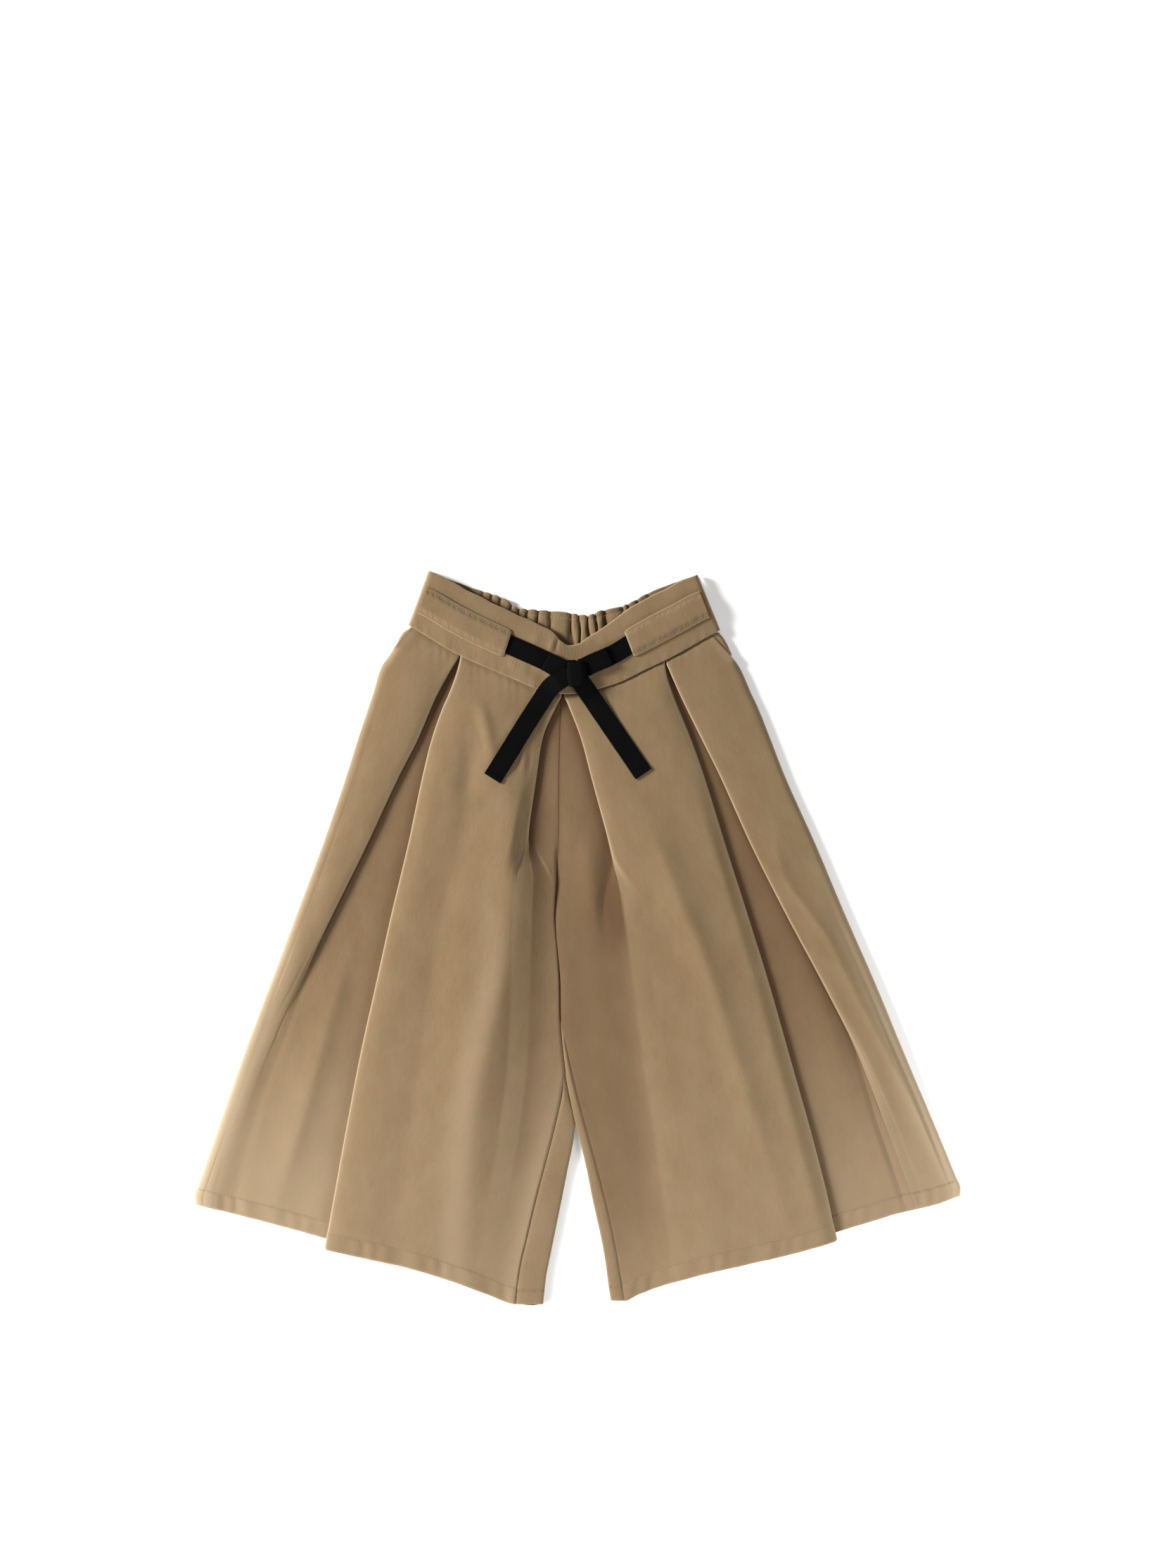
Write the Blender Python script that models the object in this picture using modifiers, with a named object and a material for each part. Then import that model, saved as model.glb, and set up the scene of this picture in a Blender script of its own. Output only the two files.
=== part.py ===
"""Palazzo pants: child's wide pleated culottes, laid flat on a table, front side up.

The waist points to +Y, +Z is up from the table, and "left" is the -X side.
Tables are in millimetres; the meshes are built in metres.
"""
import bpy
import math
import numpy as np
from mathutils import Vector
from mathutils.bvhtree import BVHTree

MM = 0.001

# Driving dimensions, in millimetres
LEG_WALL = 1.0          # cotton twill, with its seam allowances
HEM_WALL = 1.4          # turned-up hem
HEM_FROM = 0.973        # share of the way down where the turned-up hem starts
BAND_WALL = 2.0         # front waistband, folded double
BACK_BAND_WALL = 1.4    # gathered back waistband
CASING_WALL = 1.0       # belt casing stitched on the front waistband
RIBBON_WALL = 1.0       # grosgrain ribbon
RIBBON_WIDTH = 15.0
SEAM_GAP = 0.3          # pieces that are sewn or lie together stay this far apart
EDGE_GAP = 0.6          # between a leg's top edge and the waistband's lower edge
INSEAM_Z = 3.6          # height of the cloth at the inseam
BAND_Z = 7.2            # mid height of the front waistband
CROTCH_LEVEL = -121.0   # the inner leg's strip shows below this
CASING_TOP, CASING_FOOT = 0.26, 0.73    # share of the band's height
RIBBON_LINE = 0.50                      # the ribbon runs along this share
TURN_STEPS = 3          # segments in each fold's round turn
TUCK_DEPTH = 19.0       # hidden depth of the centre panel's return
CENTRE = Vector((-0.72, 1.01, 0.0))     # middle of the outline, moved to the origin

COTTON = (0.34, 0.235, 0.14, 1.0)
RIBBON_BLACK = (0.008, 0.0075, 0.009, 1.0)

# Waist seam of the front, and the seam of the back waistband: across, up
WAIST_SEAM = (
    (-137.9, 254.8), (-126.5, 248.0), (-115.1, 240.5), (-96.3, 229.9), (-80.9, 222.9),
    (-58.1, 213.2), (-32.5, 202.6), (-12.5, 198.9), (2.3, 199.5), (16.0, 202.9),
    (33.1, 208.2), (55.9, 219.4), (78.7, 230.0), (101.5, 243.4), (115.7, 250.8),
)
BACK_SEAM = (
    (-139.0, 255.5), (-115.1, 246.8), (-69.5, 234.3), (-35.3, 222.9), (-6.8, 217.2),
    (33.1, 225.7), (73.0, 237.1), (117.0, 251.5),
)

# One row per level down each leg. Distances outward from the middle line to the side
# fold, the two fold edges of the side pleat, and the fold edge of the centre pleat.
LEFT_ROWS = (
    # up, side, outer_fold, centre_fold, front_fold
    (252.5, 135.5, 85.5, 93.5, 13.8),
    (238.5, 147.5, 93.0, 94.5, 13.8),
    (229.5, 153.5, 97.6, 95.3, 13.8),
    (220.0, 160.0, 103.5, 97.5, 13.8),
    (199.0, 166.5, 115.0, 105.0, 14.0),
    (191.5, 169.0, 118.5, 108.5, 17.5),
    (163.0, 178.5, 130.5, 118.5, 29.5),
    (134.5, 187.5, 145.0, 125.5, 34.0),
    (77.5, 207.0, 171.5, 137.5, 41.5),
    (20.5, 228.5, 199.0, 151.0, 44.5),
    (-36.5, 250.0, 225.0, 163.5, 46.0),
    (-93.5, 271.5, 251.5, 176.0, 48.0),
    (-150.5, 291.5, 272.0, 186.8, 54.5),
    (-207.5, 311.3, 286.0, 197.0, 64.0),
    (-253.0, 301.0, 287.0, 205.0, 72.5),
    (-298.5, 294.0, 288.0, 212.0, 81.0),
)
RIGHT_ROWS = (
    (247.0, 108.5, 71.5, 69.0, -11.0),
    (227.5, 126.0, 71.6, 69.8, -11.0),
    (220.0, 131.5, 74.3, 70.6, -11.0),
    (199.0, 140.8, 83.5, 77.0, -11.0),
    (191.5, 144.5, 87.0, 80.0, -8.0),
    (163.0, 156.0, 101.0, 91.5, 2.8),
    (134.5, 167.0, 115.0, 101.5, 10.3),
    (77.5, 192.5, 140.5, 119.0, 24.5),
    (20.5, 216.5, 169.0, 137.0, 33.0),
    (-36.5, 241.5, 199.0, 154.5, 40.5),
    (-93.5, 265.0, 226.5, 170.5, 47.5),
    (-150.5, 289.0, 249.0, 186.5, 56.0),
    (-202.0, 310.0, 268.0, 200.0, 63.5),
    (-244.0, 299.0, 281.0, 209.0, 69.0),
    (-298.5, 295.5, 290.0, 222.5, 76.0),
)
# Centre-front seam: up, across
FRONT_SEAM = (
    (199.0, -13.0), (191.5, -14.0), (163.0, -15.0), (134.5, -15.5), (77.5, -16.0),
    (46.0, -18.0), (20.5, -19.3), (-8.0, -16.5), (-36.5, -14.2), (-62.0, -14.0),
)
LEFT_INSEAM = FRONT_SEAM + (
    (-93.5, -11.8), (-105.0, -10.6), (-124.5, -12.8), (-150.5, -18.5), (-183.0, -27.0),
    (-207.5, -33.6), (-242.0, -42.0), (-268.5, -48.0), (-298.5, -51.5),
)
RIGHT_INSEAM = FRONT_SEAM + (
    (-93.5, -8.4), (-105.0, -6.0), (-130.5, 0.2), (-163.5, 9.0), (-193.0, 17.1),
    (-219.0, 23.6), (-242.0, 28.5), (-268.5, 33.4), (-298.5, 38.3),
)
# Inner fold of each back leg: up, across
CROTCH = ((219.0, -12.5), (-98.0, -11.4), (-124.5, -8.0), (-150.5, -2.6))
LEFT_INNER = CROTCH + (
    (-162.0, -3.6), (-184.5, -8.0), (-207.5, -12.5), (-253.0, -21.7), (-276.0, -26.2),
    (-298.5, -28.8),
)
RIGHT_INNER = CROTCH + (
    (-162.0, 0.8), (-184.5, 6.3), (-207.5, 10.8), (-253.0, 20.5), (-276.0, 23.9),
    (-298.5, 27.3),
)
# Hem of the outer panel with the pleat's underlay, and of the centre panel: out, up
LEFT_OUTER_HEM = (
    (184.7, -247.4), (204.6, -242.2), (223.4, -237.1), (257.6, -228.0), (291.8, -219.4),
    (311.0, -215.0),
)
LEFT_CENTRE_HEM = (
    (28.5, -295.8), (37.0, -297.3), (50.2, -295.9), (57.0, -294.6), (69.5, -289.4),
    (103.7, -276.2), (137.9, -265.8), (172.1, -258.2), (204.6, -251.4),
)
RIGHT_OUTER_HEM = (
    (187.0, -243.4), (208.6, -237.7), (221.2, -233.7), (238.3, -228.6), (255.4, -223.2),
    (272.5, -218.9), (289.6, -214.9), (307.2, -208.5),
)
RIGHT_CENTRE_HEM = (
    (26.8, -293.0), (37.6, -293.0), (47.3, -288.6), (67.3, -281.0), (101.5, -271.3),
    (135.7, -263.3), (169.9, -255.4), (187.0, -250.8), (208.6, -244.5),
)

# Height of the layers down the leg: share, underlay mid height, spacing of the layers
LAYERS = (
    (0.00, 1.9, 1.9), (0.10, 1.9, 2.2), (0.30, 1.9, 2.9), (0.60, 1.9, 3.1),
    (0.90, 1.9, 2.9), (0.96, 2.1, 2.8), (1.00, 2.5, 2.8),
)
# Each outer pleat opens down the leg: up, share still folded, depth behind its edge
LEFT_SIDE_PLEAT = (
    (240.0, 1.0, 19.0), (80.0, 1.0, 12.0), (20.0, 0.9, 6.0), (-40.0, 0.35, 4.5),
    (-90.0, 0.0, 4.0), (-300.0, 0.0, 4.0),
)
RIGHT_SIDE_PLEAT = (
    (240.0, 1.0, 19.0), (-30.0, 1.0, 10.0), (-100.0, 0.9, 4.5), (-190.0, 0.35, 3.5),
    (-300.0, 0.2, 3.5),
)
FRONT_PLEAT = (
    (200.0, 1.0, 14.0), (120.0, 1.0, 7.0), (85.0, 0.85, 4.0), (45.0, 0.0, 4.0),
    (-300.0, 0.0, 4.0),
)

# Shares of the way down where the front legs have a line of points
FRONT_SHARES = (
    0.0, 0.015, 0.03, 0.0425, 0.054, 0.08, 0.12, 0.17, 0.22, 0.27, 0.32, 0.38, 0.44,
    0.50, 0.55, 0.60, 0.66, 0.72, 0.79, 0.86, 0.93, HEM_FROM, 1.0,
)

# Soft ridges (+) and troughs (-) of the cloth. The crest passes out_1, out_2, out_3 at
# the levels up_1, up_2, up_3, and its height there is height_1 to height_3.
LEFT_RIDGES = (
    # out_1, up_1, out_2, up_2, out_3, up_3, width, height_1, height_2, height_3
    (62.0, 205.0, 76.0, 50.0, 98.0, -260.0, 20.0, 0.5, 3.2, 2.6),
    (108.0, 170.0, 127.0, 45.0, 158.0, -130.0, 9.0, -0.5, -2.4, -0.8),
    (40.0, 190.0, 60.0, 60.0, 86.0, -190.0, 9.0, 0.0, -1.6, -0.6),
    (150.0, 100.0, 185.0, -60.0, 240.0, -230.0, 12.0, 0.0, 0.8, 1.2),
)
RIGHT_RIDGES = (
    (30.0, 190.0, 60.0, 40.0, 128.0, -150.0, 15.0, 0.5, 3.4, 1.6),
    (46.0, 100.0, 26.0, -10.0, 34.0, -120.0, 12.0, 0.0, -2.0, -0.6),
    (95.0, 120.0, 130.0, -60.0, 182.0, -235.0, 11.0, 0.0, 1.6, 2.2),
    (146.0, 120.0, 206.0, -20.0, 292.0, -190.0, 7.0, 0.0, 1.8, 1.6),
)

# Pocket facings: silhouette edge, level, inner edge, and how far the edge turns down
POCKET_LEFT = (
    # out, up, inner, curl
    (136.4, 252.4, 126.0, 1.0),
    (142.0, 249.0, 122.0, 1.0),
    (145.0, 244.8, 119.0, 1.0),
    (146.6, 240.8, 118.0, 1.0),
    (143.5, 238.2, 119.0, 0.0),
    (141.5, 232.5, 122.0, 0.0),
    (143.5, 226.0, 126.0, 0.0),
    (147.0, 218.0, 132.0, 0.0),
)
POCKET_RIGHT = (
    (114.2, 248.6, 100.0, 1.0),
    (118.2, 244.0, 96.0, 1.0),
    (121.6, 238.0, 94.0, 1.0),
    (124.8, 230.8, 95.0, 1.0),
    (121.5, 227.8, 96.5, 0.0),
    (120.0, 222.0, 99.0, 0.0),
    (122.5, 215.0, 104.0, 0.0),
    (126.5, 207.0, 112.0, 0.0),
)

# Ends of each line down the front waistband, from its left side to its right side
BAND_LINES = (
    # top_across, top_up, foot_across, foot_up
    (-122.0, 298.1, -137.9, 254.8),
    (-111.2, 294.1, -126.5, 248.0),
    (-95.2, 285.0, -111.7, 238.6),
    (-75.2, 274.7, -92.3, 228.2),
    (-55.3, 265.0, -71.2, 218.9),
    (-35.3, 255.9, -49.6, 209.7),
    (-21.7, 249.1, -32.5, 202.6),
    (-14.2, 241.7, -21.1, 200.3),
    (-7.0, 237.1, -10.8, 198.9),
    (0.5, 240.5, 2.3, 199.5),
    (9.1, 245.7, 16.0, 202.9),
    (21.7, 252.5, 34.2, 208.7),
    (36.5, 263.9, 54.7, 218.8),
    (53.0, 274.2, 72.4, 227.1),
    (70.1, 282.7, 89.5, 236.4),
    (85.5, 290.7, 103.7, 244.6),
    (97.5, 295.3, 115.7, 250.8),
)
BACK_TOP = (
    (-121.0, 297.0), (-100.9, 290.1), (-80.9, 282.7), (-69.5, 279.3), (-58.1, 274.7),
    (-48.4, 267.9), (-35.3, 266.8), (-12.5, 265.0), (7.4, 262.2), (18.8, 266.2),
    (33.1, 269.0), (44.5, 273.6), (55.9, 279.9), (78.7, 289.0), (96.8, 294.6),
)
# Valleys between the gathers of the back waistband: across, and the puffs' height
GATHERS = (
    (-120.0, 0.0), (-100.0, 0.2), (-87.0, 0.6), (-76.5, 1.2), (-69.5, 1.5), (-62.5, 1.6),
    (-53.5, 1.8), (-45.0, 1.8), (-36.0, 1.8), (-25.0, 1.8), (-14.0, 1.8), (-5.0, 1.8),
    (3.0, 1.8), (12.0, 1.8), (21.0, 1.8), (29.0, 1.6), (37.5, 1.5), (47.5, 1.1),
    (61.5, 0.5), (78.0, 0.2), (96.0, 0.0),
)

# Folded ribbon: middle line of each tail as across, up
KNOT_AT = (-1.4, 214.6)
KNOT_SIZE = (15.5, 19.5, 3.0)
LEFT_TAIL = ((-17.5, 207.6), (-20.8, 203.8), (-44.0, 168.5), (-67.8, 131.7))
RIGHT_TAIL = ((1.6, 206.8), (27.0, 170.9), (53.0, 134.0))


def empty_scene():
    for old in list(bpy.data.objects):
        bpy.data.objects.remove(old, do_unlink=True)


def collection(name):
    made = bpy.data.collections.new(name)
    bpy.context.scene.collection.children.link(made)
    return made


def cloth(name, colour, roughness):
    material = bpy.data.materials.new(name)
    material.use_nodes = True
    shader = material.node_tree.nodes["Principled BSDF"]
    shader.inputs["Base Color"].default_value = colour
    shader.inputs["Roughness"].default_value = roughness
    shader.inputs["Metallic"].default_value = 0.0
    return material


def smooth(share):
    share = min(1.0, max(0.0, share))
    return share * share * (3.0 - 2.0 * share)


def through(points, at, key=0, value=1):
    """The height at one place of a smooth curve through a table's rows, with no overshoot."""
    rows = sorted(points, key=lambda row: row[key])
    keys = [row[key] for row in rows]
    values = [row[value] for row in rows]
    if at <= keys[0]:
        return values[0]
    if at >= keys[-1]:
        return values[-1]
    i = max(n for n in range(len(keys) - 1) if keys[n] <= at)
    steps = [
        (values[n + 1] - values[n]) / (keys[n + 1] - keys[n])
        for n in range(max(0, i - 1), min(len(keys) - 1, i + 2))
    ]
    here = steps[1] if i > 0 else steps[0]
    before = steps[0]
    after = steps[-1]
    slope_in = 0.0 if before * here <= 0 else 2 * before * here / (before + here)
    slope_out = 0.0 if after * here <= 0 else 2 * after * here / (after + here)
    width = keys[i + 1] - keys[i]
    t = (at - keys[i]) / width
    return (
        values[i] * (2 * t**3 - 3 * t**2 + 1)
        + slope_in * width * (t**3 - 2 * t**2 + t)
        + values[i + 1] * (3 * t**2 - 2 * t**3)
        + slope_out * width * (t**3 - t**2)
    )


def blend(a, b, share):
    return a + (b - a) * share


def relief(ridges, out, up):
    """Height of the soft ridges and troughs at one place."""
    height = 0.0
    for out_1, up_1, out_2, up_2, out_3, up_3, width, height_1, height_2, height_3 in ridges:
        crest = through(((up_1, out_1), (up_2, out_2), (up_3, out_3)), up)
        tall = through(((up_1, height_1), (up_2, height_2), (up_3, height_3)), up)
        height += tall * math.exp(-(((out - crest) / width) ** 2))
    return height


def turns(edge, valley, top, low, side, folded, spread):
    """A pleat's S, from the top layer round the fold edge, back under, to the low layer.

    side is +1 where the edge points to a smaller distance outward. A pleat that is no
    longer folded becomes a soft slope of the given spread.
    """
    spacing = (top - low) / 2
    radius = spacing / 2
    points = []
    for n in range(TURN_STEPS + 1):
        angle = math.pi / 2 - math.pi * n / TURN_STEPS
        points.append((
            edge + side * radius - side * radius * math.cos(angle),
            top - radius + radius * math.sin(angle),
        ))
    for n in range(TURN_STEPS + 1):
        angle = math.pi / 2 - math.pi * n / TURN_STEPS
        points.append((
            valley - side * radius + side * radius * math.cos(angle),
            low + radius + radius * math.sin(angle),
        ))
    last = len(points) - 1
    soft = [
        (edge + side * spread * (1 - 2 * n / last), blend(top, low, smooth(n / last)))
        for n in range(last + 1)
    ]
    return [
        (blend(s[0], p[0], folded), blend(s[1], p[1], folded))
        for p, s in zip(points, soft)
    ]


def between(start, end, count):
    """Evenly placed points between two runs, with their share of the way."""
    return [
        (blend(start[0], end[0], n / (count + 1)), blend(start[1], end[1], n / (count + 1)),
         n / (count + 1))
        for n in range(1, count + 1)
    ]


class Leg:
    """The sizes of one leg. hand is -1 on the left and +1 on the right."""

    def __init__(self, name, hand, rows, inseam, inner, outer_hem, centre_hem, pleat, ridges):
        self.name = name
        self.hand = hand
        self.rows = rows
        self.inseam = inseam
        self.inner = inner
        self.outer_hem = outer_hem
        self.centre_hem = centre_hem
        self.pleat = pleat
        self.ridges = ridges
        self.side_top = rows[0][0]
        self.pleat_top = self.seam_up(rows[2][2])
        self.front_top = 199.0
        self.foot_side = -214.6 if hand < 0 else -208.4
        self.foot_fold = self.outer_up(self.guide(2, -216.0))
        self.foot_centre = self.centre_up(self.guide(3, -248.0))
        self.foot_front = self.centre_up(self.guide(4, -286.0))
        self.foot_seam = -295.9 if hand < 0 else -293.0

    def guide(self, column, up):
        return through(self.rows, up, 0, column)

    def seam_up(self, out):
        return through(WAIST_SEAM, self.hand * out)

    def outer_up(self, out):
        return through(self.outer_hem, out)

    def centre_up(self, out):
        return through(self.centre_hem, out)

    def seam_out(self, up):
        """Outward distance of the centre-front seam and, below it, of the inseam."""
        return self.hand * through(self.inseam, up)

    def section(self, share):
        """Points (out, height, hem) across the front of the leg, from side to inseam.

        hem tells which hem curve a point ends on: 0 the outer one, 1 the centre one.
        """
        low = through(LAYERS, share, 0, 1)
        spacing = through(LAYERS, share, 0, 2)
        top = low + 2 * spacing
        side_up = blend(self.side_top, self.foot_side, share)
        fold_up = blend(self.pleat_top, self.foot_fold, share)
        centre_up = blend(self.pleat_top, self.foot_centre, share)
        front_up = blend(self.front_top, self.foot_front, share)
        seam_up = blend(self.front_top, self.foot_seam, share)
        side = self.guide(1, side_up)
        outer = self.guide(2, fold_up)
        centre = self.guide(3, centre_up)
        front = self.guide(4, front_up)
        seam = self.seam_out(seam_up) + SEAM_GAP / 2
        folded = through(self.pleat, fold_up)
        depth = through(self.pleat, fold_up, 0, 2)
        front_folded = through(FRONT_PLEAT, front_up)
        front_depth = through(FRONT_PLEAT, front_up, 0, 2)
        outer_top = blend(low + 1.4, top, smooth(folded * 1.5))
        end = self.seam_height(seam_up, low)

        run = self.side_run(side, side_up, outer_top, share)
        points = [(out, height, 0.0) for out, height in run]
        pleat = turns(outer, outer + depth, outer_top, low, 1, folded, 9.0)
        sink = LEG_WALL + SEAM_GAP + 0.15 - spacing
        points += self.filled(run[-1], pleat[0], 5, side_up, fold_up, 0.0, 0.0, sink)
        points += [(out, height, 0.0) for out, height in pleat]
        inner = turns(centre, centre - TUCK_DEPTH, top, low, -1, 1.0, 9.0)[::-1]
        points += self.filled(pleat[-1], inner[0], 3, fold_up, centre_up, 0.0, 0.0)
        last = len(inner) - 1
        points += [(out, height, n / last) for n, (out, height) in enumerate(inner)]
        drop = turns(front, front + front_depth, top, low, 1, front_folded, 12.0)
        lift = (end - low) * (1.0 - front_folded) / (top - low)
        drop = [(out, height + lift * (top - height)) for out, height in drop]
        points += self.filled(inner[-1], drop[0], 10, centre_up, front_up, 1.0, 1.0, sink)
        points += [(out, height, 1.0) for out, height in drop]
        points += self.filled(drop[-1], (seam, end), 2, front_up, seam_up, 1.0, 1.0)
        points.append((seam, end, 1.0))
        return points

    def seam_height(self, up, low):
        """Height of the cloth along the centre-front seam and the inseam."""
        if self.hand < 0:
            return through(((-150.0, INSEAM_Z), (-115.0, INSEAM_Z), (-60.0, 2.6), (0.0, low),
                            (199.0, low)), up)
        return through(((-150.0, INSEAM_Z), (-100.0, INSEAM_Z), (-60.0, 4.6), (-10.0, 4.9),
                        (25.0, 4.2), (46.0, low), (199.0, low)), up)

    def side_run(self, side, up, top, share):
        """The outer edge: round over the side seam, or flat along the pocket mouth."""
        mouth = 1.0 - smooth((self.mouth_up() - up) / 5.0)
        foot = self.back_wall(share) + SEAM_GAP
        round_edge = (
            (side - 0.5, foot),
            (side - 0.5, blend(foot, top, 0.40)),
            (side - 1.1, blend(foot, top, 0.78)),
            (side - 3.0, blend(foot, top, 0.96)),
            (side - 6.0, top),
        )
        flat_edge = tuple((side - inset, top) for inset in (0.0, 1.2, 2.4, 4.0, 6.5))
        return [
            (blend(r[0], f[0], mouth), blend(r[1], f[1], mouth))
            for r, f in zip(round_edge, flat_edge)
        ]

    def mouth_up(self):
        """Level of the pocket mouth's lower end."""
        return self.rows[1][0]

    def back_wall(self, share):
        return blend(LEG_WALL, HEM_WALL, smooth((share - 0.94) / 0.03))

    def filled(self, start, end, count, up_start, up_end, hem_start, hem_end, deepest=0.0):
        """Points between two runs, raised by the soft ridges where the cloth lies free.

        deepest is how far a trough may sink before it meets the layer below.
        """
        points = []
        for out, height, way in between(start, end, count):
            up = blend(up_start, up_end, way)
            free = smooth(way / 0.2) * smooth((1 - way) / 0.2)
            if deepest:
                height += max(deepest, free * relief(self.ridges, out, up))
            points.append((out, height, blend(hem_start, hem_end, way)))
        return points

    def front_rows(self, shares):
        """World points of the leg's front, one row for each share of the way down."""
        top = self.section(0.0)
        foot = self.section(1.0)
        top_ups = [self.seam_up(out) - EDGE_GAP for out, height, hem in top]
        foot_ups = [
            blend(self.outer_up(out), self.centre_up(out), hem) for out, height, hem in foot
        ]
        rows = []
        for share in shares:
            rows.append([
                (self.hand * out, blend(up_0, up_1, share), height)
                for (out, height, hem), up_0, up_1 in zip(self.section(share), top_ups, foot_ups)
            ])
        return rows

    def back_rows(self, shares, count):
        """World points of the leg's back: flat, then round the inner leg to the inseam."""
        top_side = self.side_top + 1.5
        top_inner = through(BACK_SEAM, self.hand * self.guide_inner(210.0))
        rows = []
        for share in shares:
            wall = self.back_wall(share)
            flat = wall / 2
            inner_up = blend(top_inner, self.foot_seam, share)
            side_up = blend(top_side, self.foot_side + 2.0, share)
            inner = self.guide_inner(inner_up) + SEAM_GAP / 2
            side = self.guide(1, side_up)
            radius = (INSEAM_Z - flat) / 2
            row = []
            for n in range(count + 1):
                way = n / count
                out = blend(side, inner + radius, way)
                top_up = through(BACK_SEAM, self.hand * blend(self.guide(1, top_side), inner, way))
                foot_up = self.back_hem(out, way)
                row.append((self.hand * out, blend(top_up - EDGE_GAP, foot_up, share), flat))
            row += self.inner_fold(inner, inner_up, radius, flat)
            rows.append(row)
        return rows

    def guide_inner(self, up):
        return self.hand * through(self.inner, up)

    def back_hem(self, out, way):
        """The back hem lies just inside the front's, and meets it at the inner leg."""
        front = self.outer_up(out) if out > 205.0 else self.centre_up(max(out, 29.0))
        if 150.0 < out <= 205.0:
            front = blend(self.centre_up(150.0), self.outer_up(205.0), (out - 150.0) / 55.0)
        return front + 2.0 * (1.0 - smooth((way - 0.75) / 0.25))

    def inner_fold(self, inner, up, radius, flat):
        """The turn round the inner leg and the strip up to the inseam, below the crotch."""
        inseam = self.seam_out(up) - SEAM_GAP / 2 - 0.1
        columns = TURN_STEPS + 2
        if up > CROTCH_LEVEL:
            edge = (self.hand * (inner + SEAM_GAP / 2 + 0.1), up, flat)
            return [edge] + [None] * (columns - 1)
        points = []
        for n in range(1, TURN_STEPS + 1):
            angle = -math.pi / 2 + math.pi * n / TURN_STEPS
            out = inner + radius - radius * math.cos(angle) + LEG_WALL / 2
            points.append((self.hand * out, up, flat + radius + radius * math.sin(angle)))
        turn_end = inner + radius + LEG_WALL / 2
        points.append((self.hand * blend(turn_end, inseam, 0.5), up, INSEAM_Z))
        points.append((self.hand * max(inseam, turn_end + 0.4), up, INSEAM_Z))
        return points


def skin(name, rows, wall, thick_from=None):
    """A mesh through rows of points, made a wall by Solidify. Points at None are left out.

    Rows from thick_from on have the hem's full wall, the others the leg's.
    """
    used = {}
    places = []
    for i, row in enumerate(rows):
        for j, point in enumerate(row):
            if point is not None:
                used[i, j] = len(places)
                places.append([c * MM for c in point])
    faces = []
    for i in range(len(rows) - 1):
        for j in range(len(rows[i]) - 1):
            corners = ((i, j), (i + 1, j), (i + 1, j + 1), (i, j + 1))
            if all(corner in used for corner in corners):
                faces.append([used[corner] for corner in corners])
    mesh = bpy.data.meshes.new(name)
    mesh.from_pydata(places, [], faces)
    mesh.update()
    if sum(face.normal.z * face.area for face in mesh.polygons) < 0:
        mesh.flip_normals()
    body = bpy.data.objects.new(name, mesh)
    solid = body.modifiers.new("Wall", "SOLIDIFY")
    solid.thickness = wall * MM
    solid.offset = 0.0
    solid.use_even_offset = True
    if thick_from is not None:
        group = body.vertex_groups.new(name="Wall")
        for (i, j), index in used.items():
            group.add([index], 1.0 if i >= thick_from else LEG_WALL / wall, "REPLACE")
        solid.vertex_group = group.name
    mesh.shade_smooth()
    return body


def add(body, material, parts, root):
    body.data.materials.append(material)
    parts.objects.link(body)
    body.parent = root
    return body


def back_shares(leg):
    """Levels of the back leg that match the front's levels along the inseam."""
    top = through(BACK_SEAM, leg.hand * leg.guide_inner(210.0))
    shares = [0.0]
    for share in FRONT_SHARES[5:]:
        up = blend(leg.front_top, leg.foot_seam, share)
        shares.append((top - up) / (top - leg.foot_seam))
    return shares


def band_point(way, down):
    """A point of the front waistband's mid surface: way along it, down its height."""
    lines = [(n / (len(BAND_LINES) - 1),) + line for n, line in enumerate(BAND_LINES)]
    top = Vector((through(lines, way, 0, 1), through(lines, way, 0, 2)))
    foot = Vector((through(lines, way, 0, 3), through(lines, way, 0, 4)))
    foot += (top - foot).normalized() * 0.2
    flat = top.lerp(foot, down)
    height = BAND_Z - 1.1 * smooth((down - 0.6) / 0.4)
    height += 0.5 * math.sin(math.pi * down)
    return Vector((flat.x, flat.y, height))


def front_band():
    """The folded front waistband, rounded down to the back one at each side."""
    side = (
        # way in from the side, share of the height
        (0.0042, 0.0), (0.0042, 0.45), (0.008, 0.8), (0.016, 0.96), (0.030, 1.0),
    )
    foot = BACK_BAND_WALL + SEAM_GAP
    ways = [inset for inset, rise in side]
    ways += [n / 28 for n in range(2, 27)]
    ways += [1.0 - inset for inset, rise in reversed(side)]
    rises = [rise for inset, rise in side] + [1.0] * 25 + [rise for inset, rise in reversed(side)]
    rows = []
    for way, rise in zip(ways, rises):
        row = []
        for down in (0.0, 0.12, 0.26, 0.5, 0.73, 0.9, 1.0):
            point = band_point(way, down)
            row.append((point.x, point.y, blend(foot, point.z, rise)))
        rows.append(row)
    return skin("front_waistband", rows, BAND_WALL)


def back_band():
    """The elasticated back waistband, inside face up, in uneven gathers."""
    rows = []
    steps = 4
    for n in range(len(GATHERS) - 1):
        start, end = GATHERS[n], GATHERS[n + 1]
        for step in range(steps):
            share = step / steps
            across = blend(start[0], end[0], share)
            puff = blend(start[1], end[1], share) * (1 - math.cos(2 * math.pi * share))
            rows.append(gather_row(across, puff, smooth(max(start[1], end[1]))))
    rows.append(gather_row(GATHERS[-1][0], 0.0, 0.0))
    return skin("back_waistband", rows, BACK_BAND_WALL)


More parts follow.
